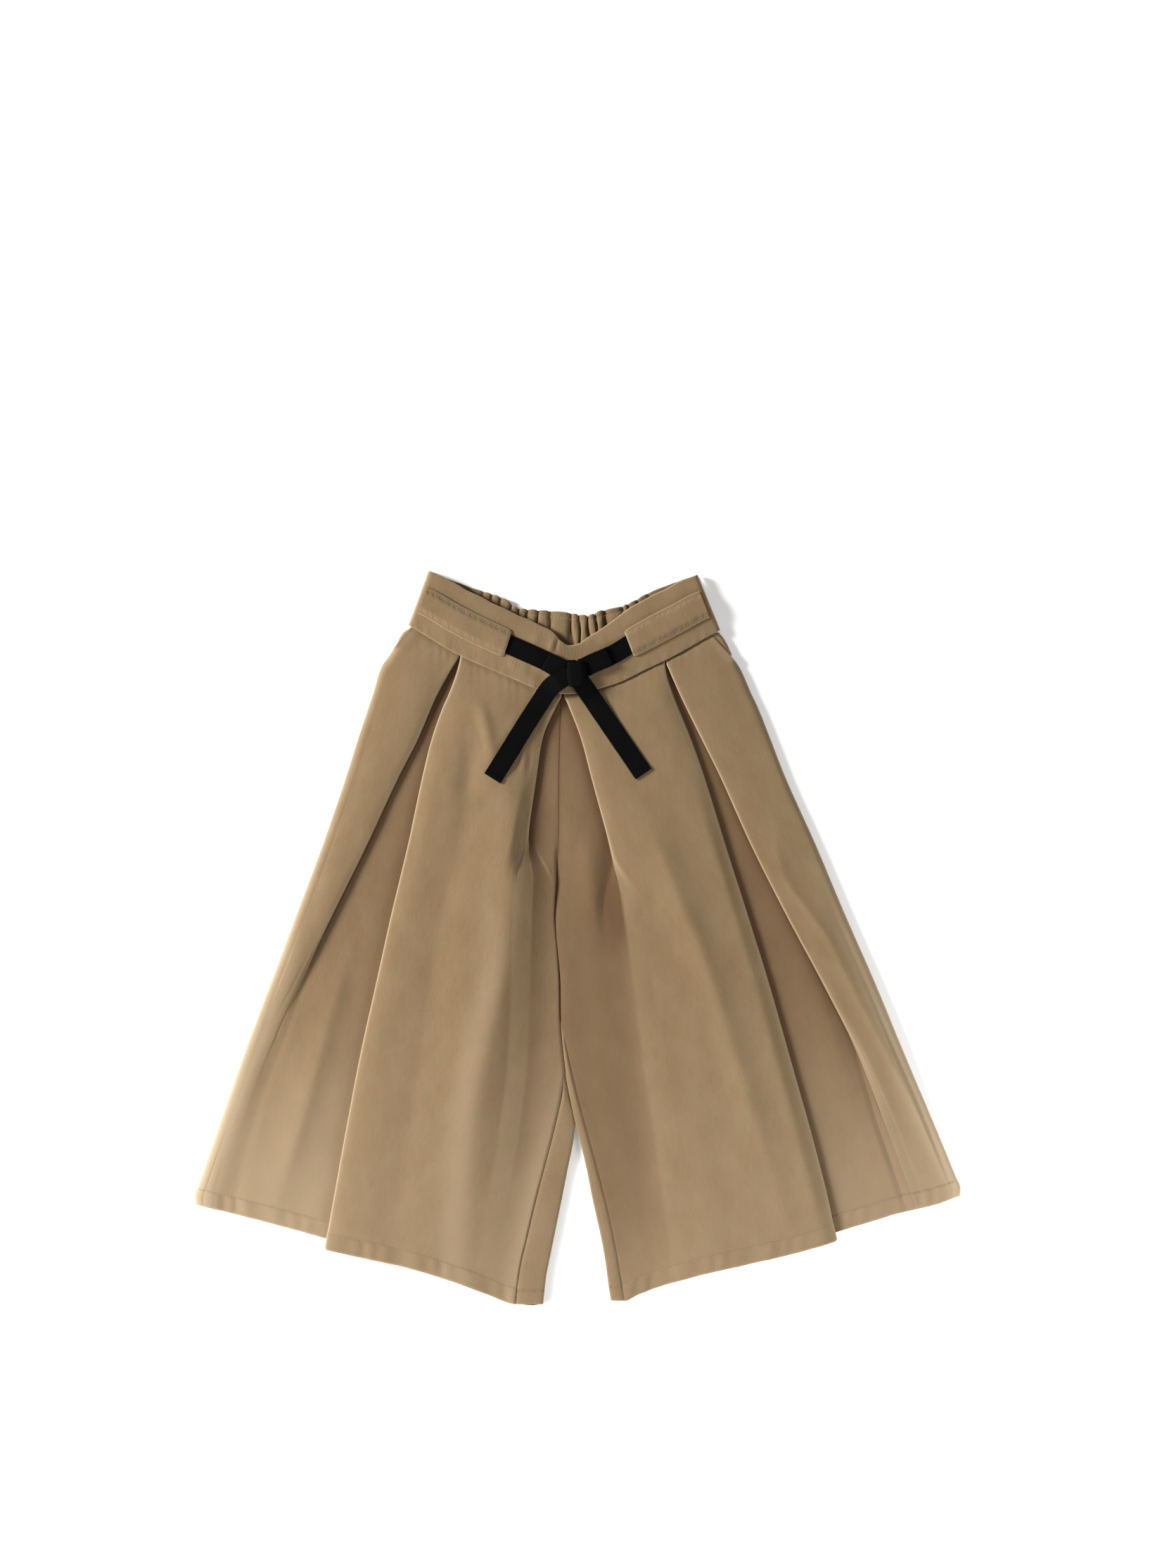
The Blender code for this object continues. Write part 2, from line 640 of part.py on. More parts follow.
def gather_row(across, puff, lift):
    """One line down the back waistband; the gathers ease out towards its seam."""
    first, last = BACK_TOP[0][0], BACK_TOP[-1][0]
    way = (across - GATHERS[0][0]) / (GATHERS[-1][0] - GATHERS[0][0])
    top_across = blend(first, last, way)
    foot_across = blend(BACK_SEAM[0][0] + 1.2, BACK_SEAM[-1][0] - 1.4, way)
    top_up = through(BACK_TOP, top_across)
    foot_up = through(BACK_SEAM, foot_across) + SEAM_GAP
    row = []
    for down in (0.0, 0.12, 0.35, 0.65, 1.0):
        ease = 1.0 - 0.75 * smooth((down - 0.35) / 0.65)
        row.append((
            blend(top_across, foot_across, down),
            blend(top_up, foot_up, down),
            BACK_BAND_WALL / 2 + 0.2 * lift + puff * ease * (1.0 - 0.25 * (down == 0.0)),
        ))
    return row


def facing(leg):
    """The pocket facing behind the slant pocket mouth, down to the side seam."""
    hand = leg.hand
    outline = POCKET_LEFT if hand < 0 else POCKET_RIGHT
    top_layer = through(LAYERS, 0.0, 0, 1) + 2 * through(LAYERS, 0.0, 0, 2)
    under = top_layer - LEG_WALL - SEAM_GAP
    foot = LEG_WALL + SEAM_GAP
    rows = []
    for out, up, inner, curl in outline:
        edge = (
            (out - 0.5, foot), (out - 0.5, blend(foot, under, 0.5)),
            (out - 1.2, blend(foot, under, 0.85)), (out - 3.0, under),
        )
        flat = tuple((out - inset, under) for inset in (0.5, 1.3, 2.1, 3.0))
        row = []
        for (edge_out, edge_z), (flat_out, flat_z) in zip(edge, flat):
            row.append((hand * blend(flat_out, edge_out, curl), up, blend(flat_z, edge_z, curl)))
        for n in range(1, 4):
            row.append((hand * blend(out - 3.0, inner, n / 3), up, under))
        rows.append(row)
    return skin("pocket_facing_" + leg.name, rows, LEG_WALL)


class Ground:
    """What a strip lies on: the highest surface under a place."""

    def __init__(self, bodies):
        scene = bpy.context.evaluated_depsgraph_get()
        scene.update()
        self.trees = [BVHTree.FromObject(body, scene) for body in bodies]

    def height(self, across, up):
        best = 0.0
        for tree in self.trees:
            hit = tree.ray_cast(Vector((across * MM, up * MM, 1.0)), Vector((0, 0, -1)))
            if hit[0] is not None:
                best = max(best, hit[0].z / MM)
        return best

    def under_strip(self, middle, direction, width):
        """The highest point across a strip at one place of its middle line."""
        normal = Vector((-direction.y, direction.x))
        heights = []
        for side in np.linspace(-0.5, 0.5, 9):
            for ahead in (-2.0, 0.0, 2.0):
                place = middle + normal * width * side + direction * ahead
                heights.append(self.height(place.x, place.y))
        return max(heights)


def line_points(points, step):
    """Even points along a line through a table, each with its direction."""
    corners = [Vector(p) for p in points]
    lengths = [0.0]
    for a, b in zip(corners, corners[1:]):
        lengths.append(lengths[-1] + (b - a).length)
    table = [(s, p.x, p.y) for s, p in zip(lengths, corners)]
    count = max(2, round(lengths[-1] / step))
    places = [
        Vector((through(table, lengths[-1] * n / count, 0, 1),
                through(table, lengths[-1] * n / count, 0, 2)))
        for n in range(count + 1)
    ]
    directions = [
        (places[min(n + 1, count)] - places[max(n - 1, 0)]).normalized()
        for n in range(count + 1)
    ]
    return list(zip(places, directions))


def laid_heights(line, ground, width, reach, lift):
    """Smooth heights along a strip that stay above everything under it."""
    raw = [ground.under_strip(place, direction, width) for place, direction in line]
    top = [max(raw[max(0, n - reach):n + reach + 1]) for n in range(len(raw))]
    eased = []
    for n in range(len(top)):
        near = top[max(0, n - reach):n + reach + 1]
        eased.append(sum(near) / len(near) + lift)
    return eased


def strip(name, line, heights, width, wall):
    rows = []
    for (place, direction), height in zip(line, heights):
        normal = Vector((-direction.y, direction.x))
        rows.append([
            (place.x + normal.x * width * side, place.y + normal.y * width * side, height)
            for side in (-0.5, 0.0, 0.5)
        ])
    return skin(name, rows, wall)


def band_line(start, end, step):
    """Even points along the ribbon's line on the front waistband."""
    ways = np.linspace(start, end, 40)
    points = [band_point(way, RIBBON_LINE)[:2] for way in ways]
    return line_points(points, step)


def ribbon_stretch(name, start, end, ground):
    line = band_line(start, end, 4.0)
    heights = laid_heights(line, ground, RIBBON_WIDTH, 1, SEAM_GAP + RIBBON_WALL / 2)
    return strip(name, line, heights, RIBBON_WIDTH, RIBBON_WALL)


def bow_loop(name, start, end, ground):
    """A flat loop: out along the lower layer, round, and back above it."""
    line = band_line(start, end, 3.0)
    low = laid_heights(line, ground, RIBBON_WIDTH, 1, SEAM_GAP + RIBBON_WALL / 2)
    radius = (RIBBON_WALL + 0.6) / 2
    flat = max(low)
    path = [(place, direction, flat) for place, direction in line]
    place, direction = line[-1]
    for n in range(1, 4):
        angle = math.pi * n / 4
        path.append((
            place + direction * radius * math.sin(angle), direction,
            flat + radius * (1 - math.cos(angle)),
        ))
    path += [(place, direction, flat + 2 * radius) for place, direction in reversed(line)]
    rows = []
    for place, direction, height in path:
        normal = Vector((-direction.y, direction.x))
        rows.append([
            (place.x + normal.x * RIBBON_WIDTH * side, place.y + normal.y * RIBBON_WIDTH * side,
             height)
            for side in (-0.5, 0.0, 0.5)
        ])
    return skin(name, rows[::-1], RIBBON_WALL)


def casing(name, start, end):
    """A belt casing: stitched down along both long edges, arched over the ribbon."""
    rows = []
    count = 12
    lift = BAND_WALL / 2 + SEAM_GAP + 0.15 + CASING_WALL / 2
    arch = RIBBON_WALL + SEAM_GAP
    for n in range(count + 1):
        way = blend(start, end, n / count)
        row = []
        for share in (0.0, 0.06, 0.12, 0.3, 0.5, 0.7, 0.88, 0.94, 1.0):
            point = band_point(way, blend(CASING_TOP, CASING_FOOT, share))
            rise = smooth(min(share, 1.0 - share) / 0.12)
            row.append((point.x, point.y, point.z + lift + arch * rise))
        rows.append(row)
    return skin(name, rows, CASING_WALL)


def knot(ground):
    """The ribbon's wrapped knot, a flat rounded pillow."""
    across, up = KNOT_AT
    high = max(
        ground.height(across + dx, up + dy)
        for dx in np.linspace(-8.5, 8.5, 9)
        for dy in np.linspace(-10.5, 10.5, 9)
    )
    bpy.ops.mesh.primitive_cube_add(size=1.0)
    body = bpy.context.object
    body.name = "bow_knot"
    body.data.name = "bow_knot"
    sizes = [size * 1.12 * MM for size in KNOT_SIZE]
    for vertex in body.data.vertices:
        vertex.co = Vector((vertex.co.x * sizes[0], vertex.co.y * sizes[1], vertex.co.z * sizes[2]))
    bevel = body.modifiers.new("Edges", "BEVEL")
    bevel.width = 0.9 * MM
    bevel.segments = 3
    body.location = (across * MM, up * MM, (high + SEAM_GAP) * MM + sizes[2] / 2)
    body.rotation_euler = (0.0, 0.0, math.radians(-8.0))
    body.users_collection[0].objects.unlink(body)
    return body


def tail(name, points, ground):
    """A loose ribbon end, from the knot down over the folds of the legs."""
    line = line_points(points, 4.5)
    heights = laid_heights(line, ground, RIBBON_WIDTH + 1.0, 2, SEAM_GAP + RIBBON_WALL / 2)
    return strip(name, line, heights, RIBBON_WIDTH, RIBBON_WALL)


LEFT = Leg("left", -1, LEFT_ROWS, LEFT_INSEAM, LEFT_INNER, LEFT_OUTER_HEM,
           LEFT_CENTRE_HEM, LEFT_SIDE_PLEAT, LEFT_RIDGES)
RIGHT = Leg("right", 1, RIGHT_ROWS, RIGHT_INSEAM, RIGHT_INNER, RIGHT_OUTER_HEM,
            RIGHT_CENTRE_HEM, RIGHT_SIDE_PLEAT, RIGHT_RIDGES)


def main():
    empty_scene()
    parts = collection("palazzo_pants")
    root = bpy.data.objects.new("palazzo_pants_origin", None)
    parts.objects.link(root)
    cotton = cloth("cotton_twill", COTTON, 0.85)
    black = cloth("grosgrain_ribbon", RIBBON_BLACK, 0.7)

    front_legs = []
    for leg in (LEFT, RIGHT):
        hem_row = FRONT_SHARES.index(HEM_FROM)
        front = skin("front_leg_" + leg.name, leg.front_rows(FRONT_SHARES), HEM_WALL, hem_row)
        front_legs.append(add(front, cotton, parts, root))
        shares = back_shares(leg)
        back = skin("back_leg_" + leg.name, leg.back_rows(shares, 9), HEM_WALL, len(shares) - 2)
        add(back, cotton, parts, root)
        add(facing(leg), cotton, parts, root)
    band = add(front_band(), cotton, parts, root)
    add(back_band(), cotton, parts, root)

    stretches = []
    for name, start, end in (("ribbon_left", 0.235, 0.545), ("ribbon_right", 0.765, 0.556)):
        stretch = ribbon_stretch(name, start, end, Ground([band]))
        stretches.append(add(stretch, black, parts, root))
    for name, start, end in (("casing_left", 0.022, 0.268), ("casing_right", 0.978, 0.735)):
        add(casing(name, start, end), cotton, parts, root)
    loops = []
    for name, start, end in (("bow_loop_left", 0.545, 0.385), ("bow_loop_right", 0.556, 0.675)):
        loop = bow_loop(name, start, end, Ground([band] + stretches))
        loops.append(add(loop, black, parts, root))
    tails = []
    for name, points in (("tail_left", LEFT_TAIL), ("tail_right", RIGHT_TAIL)):
        ground = Ground(front_legs + [band] + stretches + loops + tails)
        made = tail(name, points, ground)
        tails.append(add(made, black, parts, root))
    add(knot(Ground([band] + stretches + loops + tails)), black, parts, root)
    root.location = -CENTRE * MM


main()
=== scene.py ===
"""Palazzo pants: the finished look of a child's pleated culottes laid flat, front side up.

The waist points to +Y, +Z is up from the table, and "left" is the -X side. Tables are in
millimetres, measured as in the solids; the meshes are built in metres.
"""
import math
import bpy
import numpy as np
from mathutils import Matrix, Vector
from mathutils.bvhtree import BVHTree


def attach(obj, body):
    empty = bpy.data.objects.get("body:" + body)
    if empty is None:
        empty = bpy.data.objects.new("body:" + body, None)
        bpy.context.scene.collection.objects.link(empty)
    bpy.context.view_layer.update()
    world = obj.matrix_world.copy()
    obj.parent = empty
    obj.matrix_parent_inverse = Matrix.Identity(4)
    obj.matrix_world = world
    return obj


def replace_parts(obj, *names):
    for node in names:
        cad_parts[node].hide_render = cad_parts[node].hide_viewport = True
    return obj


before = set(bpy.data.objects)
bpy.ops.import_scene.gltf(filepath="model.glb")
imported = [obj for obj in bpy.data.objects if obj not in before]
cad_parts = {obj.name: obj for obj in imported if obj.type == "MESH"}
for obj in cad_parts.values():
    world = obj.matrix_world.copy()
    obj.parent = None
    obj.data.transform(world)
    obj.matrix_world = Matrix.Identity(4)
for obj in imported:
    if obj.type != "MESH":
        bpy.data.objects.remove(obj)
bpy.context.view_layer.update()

MM = 0.001

# Sizes that the looks share with the solids, in millimetres
LEG_WALL = 1.0
HEM_WALL = 1.4
HEM_FROM = 0.973        # share of a front leg's length above its hem
SEAM_GAP = 0.3
EDGE_GAP = 0.6
CROTCH_GAP = 0.16       # between the two inner legs, where they touch
INSEAM_Z = 3.6
UNDERLAY_Z = 1.9        # mid height of the underlays, down most of a leg
FACING_Z = 4.4          # mid height of the pocket facings
BAND_Z = 7.2
BAND_WALL = 2.0
BAND_LENGTH = 262.0     # of the front waistband, along its bent line
BACK_BAND_WALL = 1.4
BACK_BAND_HEIGHT = 48.0
CASING_TOP, CASING_FOOT = 0.26, 0.73
CASING_HEIGHT = 22.0
LEFT_CASING, RIGHT_CASING = (0.022, 0.268), (0.978, 0.735)
RIBBON_LINE = 0.50
RIBBON_WIDTH = 15.0
TUCK_DEPTH = 19.0
CENTRE = (-0.72, 1.01)

# Sizes of the finer detail
PLY = 0.9               # one ply of the folded front waistband
BACK_PLY = 0.66         # one ply of the gathered back waistband
CASING_PLY = 0.9
RIBBON_PLY = 0.7
RIBBON_STEP = 0.3       # between the ribbons' points
HEM_DEPTH = 13.0        # stitch line above the hem's edge
STITCH_PITCH = 2.6
STITCH_LENGTH = 2.0
THREAD = 0.28           # radius of the sewing thread's hump
PICOT_PITCH = 1.45      # small loops along the ribbon's edges
PICOT_REACH = 0.42
FRONT_LENGTH = 450.0    # length of a front leg below the waist seam, nearly
ABOVE_SEAM = (2.7, 1.9, 1.1, 0.4)       # a front leg's rows inside the waistband
SEAM_EDGE = ((1.2, 0.15), (0.5, 0.4), (0.0, 0.7))       # inset and dip at the seam's edge
SIDE_OPENING = (9.0, 0.0)       # half width and shift of an opened side pleat's slope
OPENED_RISE = 1.4       # the outer panel above the underlay, where the pleat has opened
CENTRE_ROLL = 1.8       # rounding of the centre panel over its folds
FOLD_FEET = (-216.0, -248.0, -286.0)    # near where the side, tuck and front folds end
BACK_HEM_CHANGE = (150.0, 205.0)        # from the centre panel's line to the outer panel's
HEM_INNER_END = 29.0
HEADER_DEPTH = 4.4      # the gathered band's stitch line below its edge
CHANNEL_DEPTH = 4.2     # the drawn-in channel along it
HEADER_REACH = (-70.0, 62.0)
OUTER_HEM_END, CENTRE_HEM_STITCHES, INNER_HEM_STITCHES = 207.0, (203.0, 30.0), (51.0, 26.0)
CASING_STITCHES = (0.115, 0.885)        # shares of the casing's height
BOW_BED = ((-7.0, 5.0), (207.0, 222.0)) # across and up, what the knot is wrapped round
STITCH_STEP, STITCH_LOW = 0.7, 1.0      # a stitch over a higher step or lower down is left out

# Columns across a front leg, from the side seam to the inseam. A fold's S has two half turns.
TURN_STEPS = 6
HALF_TURN = TURN_STEPS + 1
SIDE_COLUMNS, OUTER_COLUMNS, UNDERLAY_COLUMNS, CENTRE_COLUMNS, MIDDLE_COLUMNS = 10, 36, 30, 62, 12
OUTER_END = SIDE_COLUMNS + OUTER_COLUMNS
UNDERLAY_START = OUTER_END + 2 * HALF_TURN
UNDERLAY_END = UNDERLAY_START + UNDERLAY_COLUMNS
CENTRE_START = UNDERLAY_END + 2 * HALF_TURN
CENTRE_END = CENTRE_START + CENTRE_COLUMNS
MIDDLE_START = CENTRE_END + 2 * HALF_TURN
MIDDLE_END = MIDDLE_START + MIDDLE_COLUMNS
SPINE = CENTRE_START + 30       # the column that the weave runs along
COLUMN = np.arange(MIDDLE_END + len(SEAM_EDGE))
OUTER_PANEL = (COLUMN >= SIDE_COLUMNS) & (COLUMN < OUTER_END)
UNDERLAY = (COLUMN >= UNDERLAY_START) & (COLUMN < UNDERLAY_END)
CENTRE_PANEL = (COLUMN >= CENTRE_START) & (COLUMN < CENTRE_END)
MIDDLE = (COLUMN >= MIDDLE_START) & (COLUMN < MIDDLE_END)

# The waist seams: across, up
WAIST_SEAM = (
    (-137.9, 254.8), (-126.5, 248), (-115.1, 240.5), (-96.3, 229.9), (-80.9, 222.9),
    (-58.1, 213.2), (-32.5, 202.6), (-12.5, 198.9), (2.3, 199.5), (16, 202.9),
    (33.1, 208.2), (55.9, 219.4), (78.7, 230), (101.5, 243.4), (115.7, 250.8),
)
BACK_SEAM = (
    (-139, 255.5), (-115.1, 246.8), (-69.5, 234.3), (-35.3, 222.9), (-6.8, 217.2),
    (33.1, 225.7), (73, 237.1), (117, 251.5),
)
LEFT_ROWS = (
    # up, side, outer_fold, centre_fold, front_fold
    (252.5, 135.5, 85.5, 93.5, 13.8),
    (238.5, 147.5, 93, 94.5, 13.8),
    (229.5, 153.5, 97.6, 95.3, 13.8),
    (220, 160, 103.5, 97.5, 13.8),
    (199, 166.5, 115, 105, 14),
    (191.5, 169, 118.5, 108.5, 17.5),
    (163, 178.5, 130.5, 118.5, 29.5),
    (134.5, 187.5, 145, 125.5, 34),
    (77.5, 207, 171.5, 137.5, 41.5),
    (20.5, 228.5, 199, 151, 44.5),
    (-36.5, 250, 225, 163.5, 46),
    (-93.5, 271.5, 251.5, 176, 48),
    (-150.5, 291.5, 272, 186.8, 54.5),
    (-200, 308.8, 284.3, 195.7, 62.8),
    (-207.5, 311.3, 286, 197, 64),
    (-253, 301, 287, 205, 72.5),
    (-298.5, 294, 288, 212, 81),
)
RIGHT_ROWS = (
    (247, 108.5, 71.5, 69, -11),
    (227.5, 126, 71.6, 69.8, -11),
    (220, 131.5, 74.3, 70.6, -11),
    (199, 140.8, 83.5, 77, -11),
    (191.5, 144.5, 87, 80, -8),
    (163, 156, 101, 91.5, 2.8),
    (134.5, 167, 115, 101.5, 10.3),
    (77.5, 192.5, 140.5, 119, 24.5),
    (20.5, 216.5, 169, 137, 33),
    (-36.5, 241.5, 199, 154.5, 40.5),
    (-93.5, 265, 226.5, 170.5, 47.5),
    (-150.5, 289, 249, 186.5, 56),
    (-195, 307.3, 265.5, 198.2, 62.5),
    (-202, 310, 268, 200, 63.5),
    (-244, 299, 281, 209, 69),
    (-298.5, 295.5, 290, 222.5, 76),
)
# The centre-front seam, the inseams and the legs' inner edges: up, across
FRONT_SEAM = (
    (199, -13), (191.5, -14), (163, -15), (134.5, -15.5), (77.5, -16),
    (46, -18), (20.5, -19.3), (-8, -16.5), (-36.5, -14.2), (-62, -14),
)
LEFT_INSEAM = FRONT_SEAM + (
    (-93.5, -11.8), (-105, -10.6), (-124.5, -12.8), (-150.5, -18.5), (-183, -27),
    (-207.5, -33.6), (-242, -42), (-268.5, -48), (-298.5, -51.5),
)
RIGHT_INSEAM = FRONT_SEAM + (
    (-93.5, -8.4), (-105, -6), (-130.5, 0.2), (-163.5, 9), (-193, 17.1),
    (-219, 23.6), (-242, 28.5), (-268.5, 33.4), (-298.5, 38.3),
)
CROTCH = ((219, -12.5), (-40, -13), (-62, -14.8), (-80, -13.8), (-98, -12),
          (-112, -10.2), (-124.5, -8), (-150.5, -2.6))
LEFT_INNER = CROTCH + (
    (-162, -3.6), (-184.5, -8), (-207.5, -12.5), (-253, -21.7), (-276, -26.2),
    (-298.5, -28.8),
)
RIGHT_INNER = CROTCH + (
    (-162, 0.8), (-184.5, 6.3), (-207.5, 10.8), (-253, 20.5), (-276, 23.9),
    (-298.5, 27.3),
)
# The hems of the outer and centre panels: out, up
LEFT_OUTER_HEM = (
    (184.7, -247.4), (204.6, -242.2), (223.4, -237.1), (257.6, -228), (291.8, -219.4),
    (311, -215),
)
LEFT_CENTRE_HEM = (
    (28.5, -295.8), (37, -297.3), (50.2, -295.9), (57, -294.6), (69.5, -289.4),
    (103.7, -276.2), (137.9, -265.8), (172.1, -258.2), (204.6, -251.4),
)
RIGHT_OUTER_HEM = (
    (187, -243.4), (208.6, -237.7), (221.2, -233.7), (238.3, -228.6), (255.4, -223.2),
    (272.5, -218.9), (289.6, -214.9), (307.2, -208.5),
)
RIGHT_CENTRE_HEM = (
    (26.8, -293), (37.6, -293), (47.3, -288.6), (67.3, -281), (101.5, -271.3),
    (135.7, -263.3), (169.9, -255.4), (187, -250.8), (208.6, -244.5),
)
LAYERS = (
    # share down the leg, underlay mid height, spacing of the layers
    (0, 1.9, 1.7), (0.1, 1.9, 1.6), (0.3, 1.9, 1.7), (0.6, 1.9, 1.9),
    (0.9, 1.9, 2), (0.96, 2.1, 2.2), (1, 2.4, 2.2),
)
LEFT_SIDE_PLEAT = (
    # up, share still folded, depth behind its edge
    (240, 1, 19), (80, 1, 12), (20, 0.9, 6), (-40, 0.35, 4.5),
    (-90, 0, 4), (-300, 0, 4),
)
RIGHT_SIDE_PLEAT = (
    (240, 1, 19), (0, 1, 9), (-50, 0.9, 5), (-105, 0.5, 4),
    (-160, 0.15, 3.5), (-300, 0.05, 3.5),
)
LEFT_FRONT_PLEAT = (
    (200, 1, 14), (120, 1, 7), (85, 0.85, 4), (45, 0, 4),
    (-300, 0, 4),
)
RIGHT_FRONT_PLEAT = (
    (200, 1, 14), (110, 1, 7), (70, 0.9, 4), (22, 0, 4),
    (-300, 0, 4),
)
# The cloth along the seam between the legs: share of the rise to the inseam, and height
LEFT_SEAM_RISE = ((-150, 1), (-115, 1), (-60, 0.41), (0, 0), (199, 0))
RIGHT_SEAM_HEIGHT = (
    (-150, INSEAM_Z), (-100, INSEAM_Z), (-60, 4.5), (-20, 4.8), (15, 4.1), (50, 2.6),
    (95, UNDERLAY_Z), (199, UNDERLAY_Z),
)
# Painted shade on the underlays: up, share
LEFT_SHADE = ((200, 0.30), (60, 0.30), (-40, 0.20), (-150, 0.05), (-300, 0))
RIGHT_SHADE = ((200, 0.25), (110, 0.40), (0, 0.55), (-70, 0.46), (-170, 0.31), (-300, 0.16))
# The front waistband's ends, rounded down to the seams: way along it, share of the rise
BAND_SIDE = (
    (0.0040, 0), (0.0040, 0.25), (0.0044, 0.45), (0.0058, 0.65), (0.0085, 0.82),
    (0.0130, 0.93), (0.0190, 0.985), (0.0280, 1),
)

# Soft ridges down each leg: widths on the crest's outer and inner flank, its rounding, and
# rows of up, out and height along the crest
LEFT_RIDGES = (
    ((28, 26, 7), (
        (200, 82, 0), (150, 69, 0.8), (100, 53, 4.4), (49, 53.5, 7.4),
        (-2, 56, 7.6), (-54, 66, 6.8), (-105, 77, 5.6), (-156, 85, 4.2),
        (-202, 89, 2.4), (-260, 93, 0.4))),
    ((13, 16, 5), (
        (150, 86, 0), (106, 91, -1.5), (20, 110, -1.8), (-65, 124, -1.8),
        (-150, 136, -1.7), (-219, 146, -1), (-265, 150, -0.2))),
    ((11, 10, 5), (
        (196, 82, 0), (175, 73.5, 0.9), (137, 70, 0.9), (115, 70, 0),
        (-300, 70, 0))),
    ((12, 12, 6), (
        (190, 96, 0), (146, 98, 0.7), (100, 108, 0.5), (40, 122, 0),
        (-300, 122, 0))),
)
RIGHT_RIDGES = (
    ((14, 12, 5), (
        (112, 52, 0), (75, 66, 2.6), (49, 76, 3.8), (20, 87, 4.3),
        (-2, 97, 4.3), (-54, 115, 4.2), (-105, 131, 3.4), (-156, 146.5, 2.8),
        (-202, 162, 1.6), (-250, 176, 0.2))),
    ((7, 9, 3), (
        (140, 92, 0), (77, 110, 0.9), (20, 128, 1), (-36, 145.5, 1),
        (-93, 161.5, 1.4), (-150, 177.5, 1.8), (-202, 191, 1.9), (-260, 206, 0.8))),
    ((8, 5, 2), (
        (95, 160, 0), (65, 163, 1), (-2, 204, 1.5), (-54, 230, 1.5),
        (-105, 257, 1.4), (-156, 283, 1.2), (-202, 303, 0.3))),
    ((7, 11, 3), (
        (-30, 198, 0), (-93, 227, 1.3), (-150, 249, 2.7), (-202, 268, 3.1),
        (-244, 281, 3), (-300, 290, 3))),
    ((18, 22, 6), (
        (40, 30, 0), (0, 36, -0.3), (-65, 42, -0.7), (-150, 48, -0.8),
        (-219, 58, -0.7), (-270, 66, -0.2))),
)
# The same on the underlays, between the panels
LEFT_UNDER = (
    ((14, 9, 3), (
        (20, 170, 0), (-10, 186, 0.8), (-54, 198, 2), (-105, 212, 2.6),
        (-156, 226, 2.4), (-202, 240, 1), (-240, 250, 0.3))),
)
RIGHT_UNDER = (
    ((30, 30, 4), (
        (60, 150, 0), (-2, 178, 0.6), (-105, 222, 1.6), (-202, 258, 1.4),
        (-240, 270, 0.5))),
)
# Beside the centre-front seam, where the middle pleat has opened out
RIGHT_MIDDLE = (
    ((11, 9, 4), (
        (92, 8, 0), (60, 9.5, 2.8), (34, 10.5, 2.4), (8, 12, 0.8),
        (-18, 13, 0), (-300, 15, 0))),
)
# Short creases: three points of the crease's line, its half width and its height
CREASES = (
    # x_1, y_1, x_2, y_2, x_3, y_3, width, height
    (-83.8, 196, -71.3, 174, -69.5, 137, 5, 1.3),
    (-85.5, 168, -87.8, 140, -95.2, 106, 9, -1.5),
    (-46.7, 166, -42.2, 151, -45.6, 131, 3.5, 0.8),
    (-37, 160, -39.9, 143, -42.2, 128, 2.5, -0.6),
)
BAND_CREASES = (
    (-15.5, 245.5, -17.8, 239, -18.5, 231, 1.6, -0.55),
    (-19.5, 246, -21.8, 239, -23.5, 231, 2.4, 0.5),
    (-57, 228, -53, 224, -49, 219, 3, 0.5),
    (-44, 221, -34, 215, -20, 211, 4.5, -1.1),
    (-31, 250, -34, 243, -38, 238, 3.5, 0.45),
    (14, 243, 20, 238, 26, 234, 4, 0.35),
)

POCKET_LEFT = (
    # out, up, inner, curl
    (136.4, 252.4, 126, 1),
    (142, 249, 122, 1),
    (145, 244.8, 119, 1),
    (146.6, 240.8, 118, 1),
    (143.5, 238.2, 119, 0),
    (141.5, 232.5, 122, 0),
    (143.5, 226, 126, 0),
    (147, 218, 132, 0),
)
POCKET_RIGHT = (
    (114.2, 248.6, 100, 1),
    (118.2, 244, 96, 1),
    (121.6, 238, 94, 1),
    (124.8, 230.8, 95, 1),
    (121.5, 227.8, 96.5, 0),
    (120, 222, 99, 0),
    (122.5, 215, 104, 0),
    (126.5, 207, 112, 0),
)
BAND_LINES = (
    # top_across, top_up, foot_across, foot_up
    (-122, 298.1, -137.9, 254.8),
    (-111.2, 294.1, -126.5, 248),
    (-95.2, 285, -111.7, 238.6),
    (-75.2, 274.7, -92.3, 228.2),
    (-55.3, 265, -71.2, 218.9),
    (-35.3, 255.9, -49.6, 209.7),
    (-21.7, 249.1, -32.5, 202.6),
    (-14.2, 241.2, -21.1, 200.3),
    (-7, 237.6, -10.8, 198.9),
    (0.5, 238.7, 2.3, 199.5),
    (9.1, 244.9, 16, 202.9),
    (21.7, 252.5, 34.2, 208.7),
    (36.5, 263.9, 54.7, 218.8),
    (53, 274.2, 72.4, 227.1),
    (70.1, 282.7, 89.5, 236.4),
    (85.5, 290.7, 103.7, 244.6),
    (97.5, 295.3, 115.7, 250.8),
)
# The gathered band's edge: across, up
BACK_TOP = (
    (-121, 297), (-100.9, 290.1), (-80.9, 282.7), (-69.5, 279.3), (-58.1, 274.7),
    (-48.4, 267.9), (-35.3, 266.8), (-12.5, 265), (7.4, 262.2), (18.8, 266.2),
    (33.1, 269), (44.5, 273.6), (55.9, 279.9), (78.7, 289), (96.8, 294.6),
)
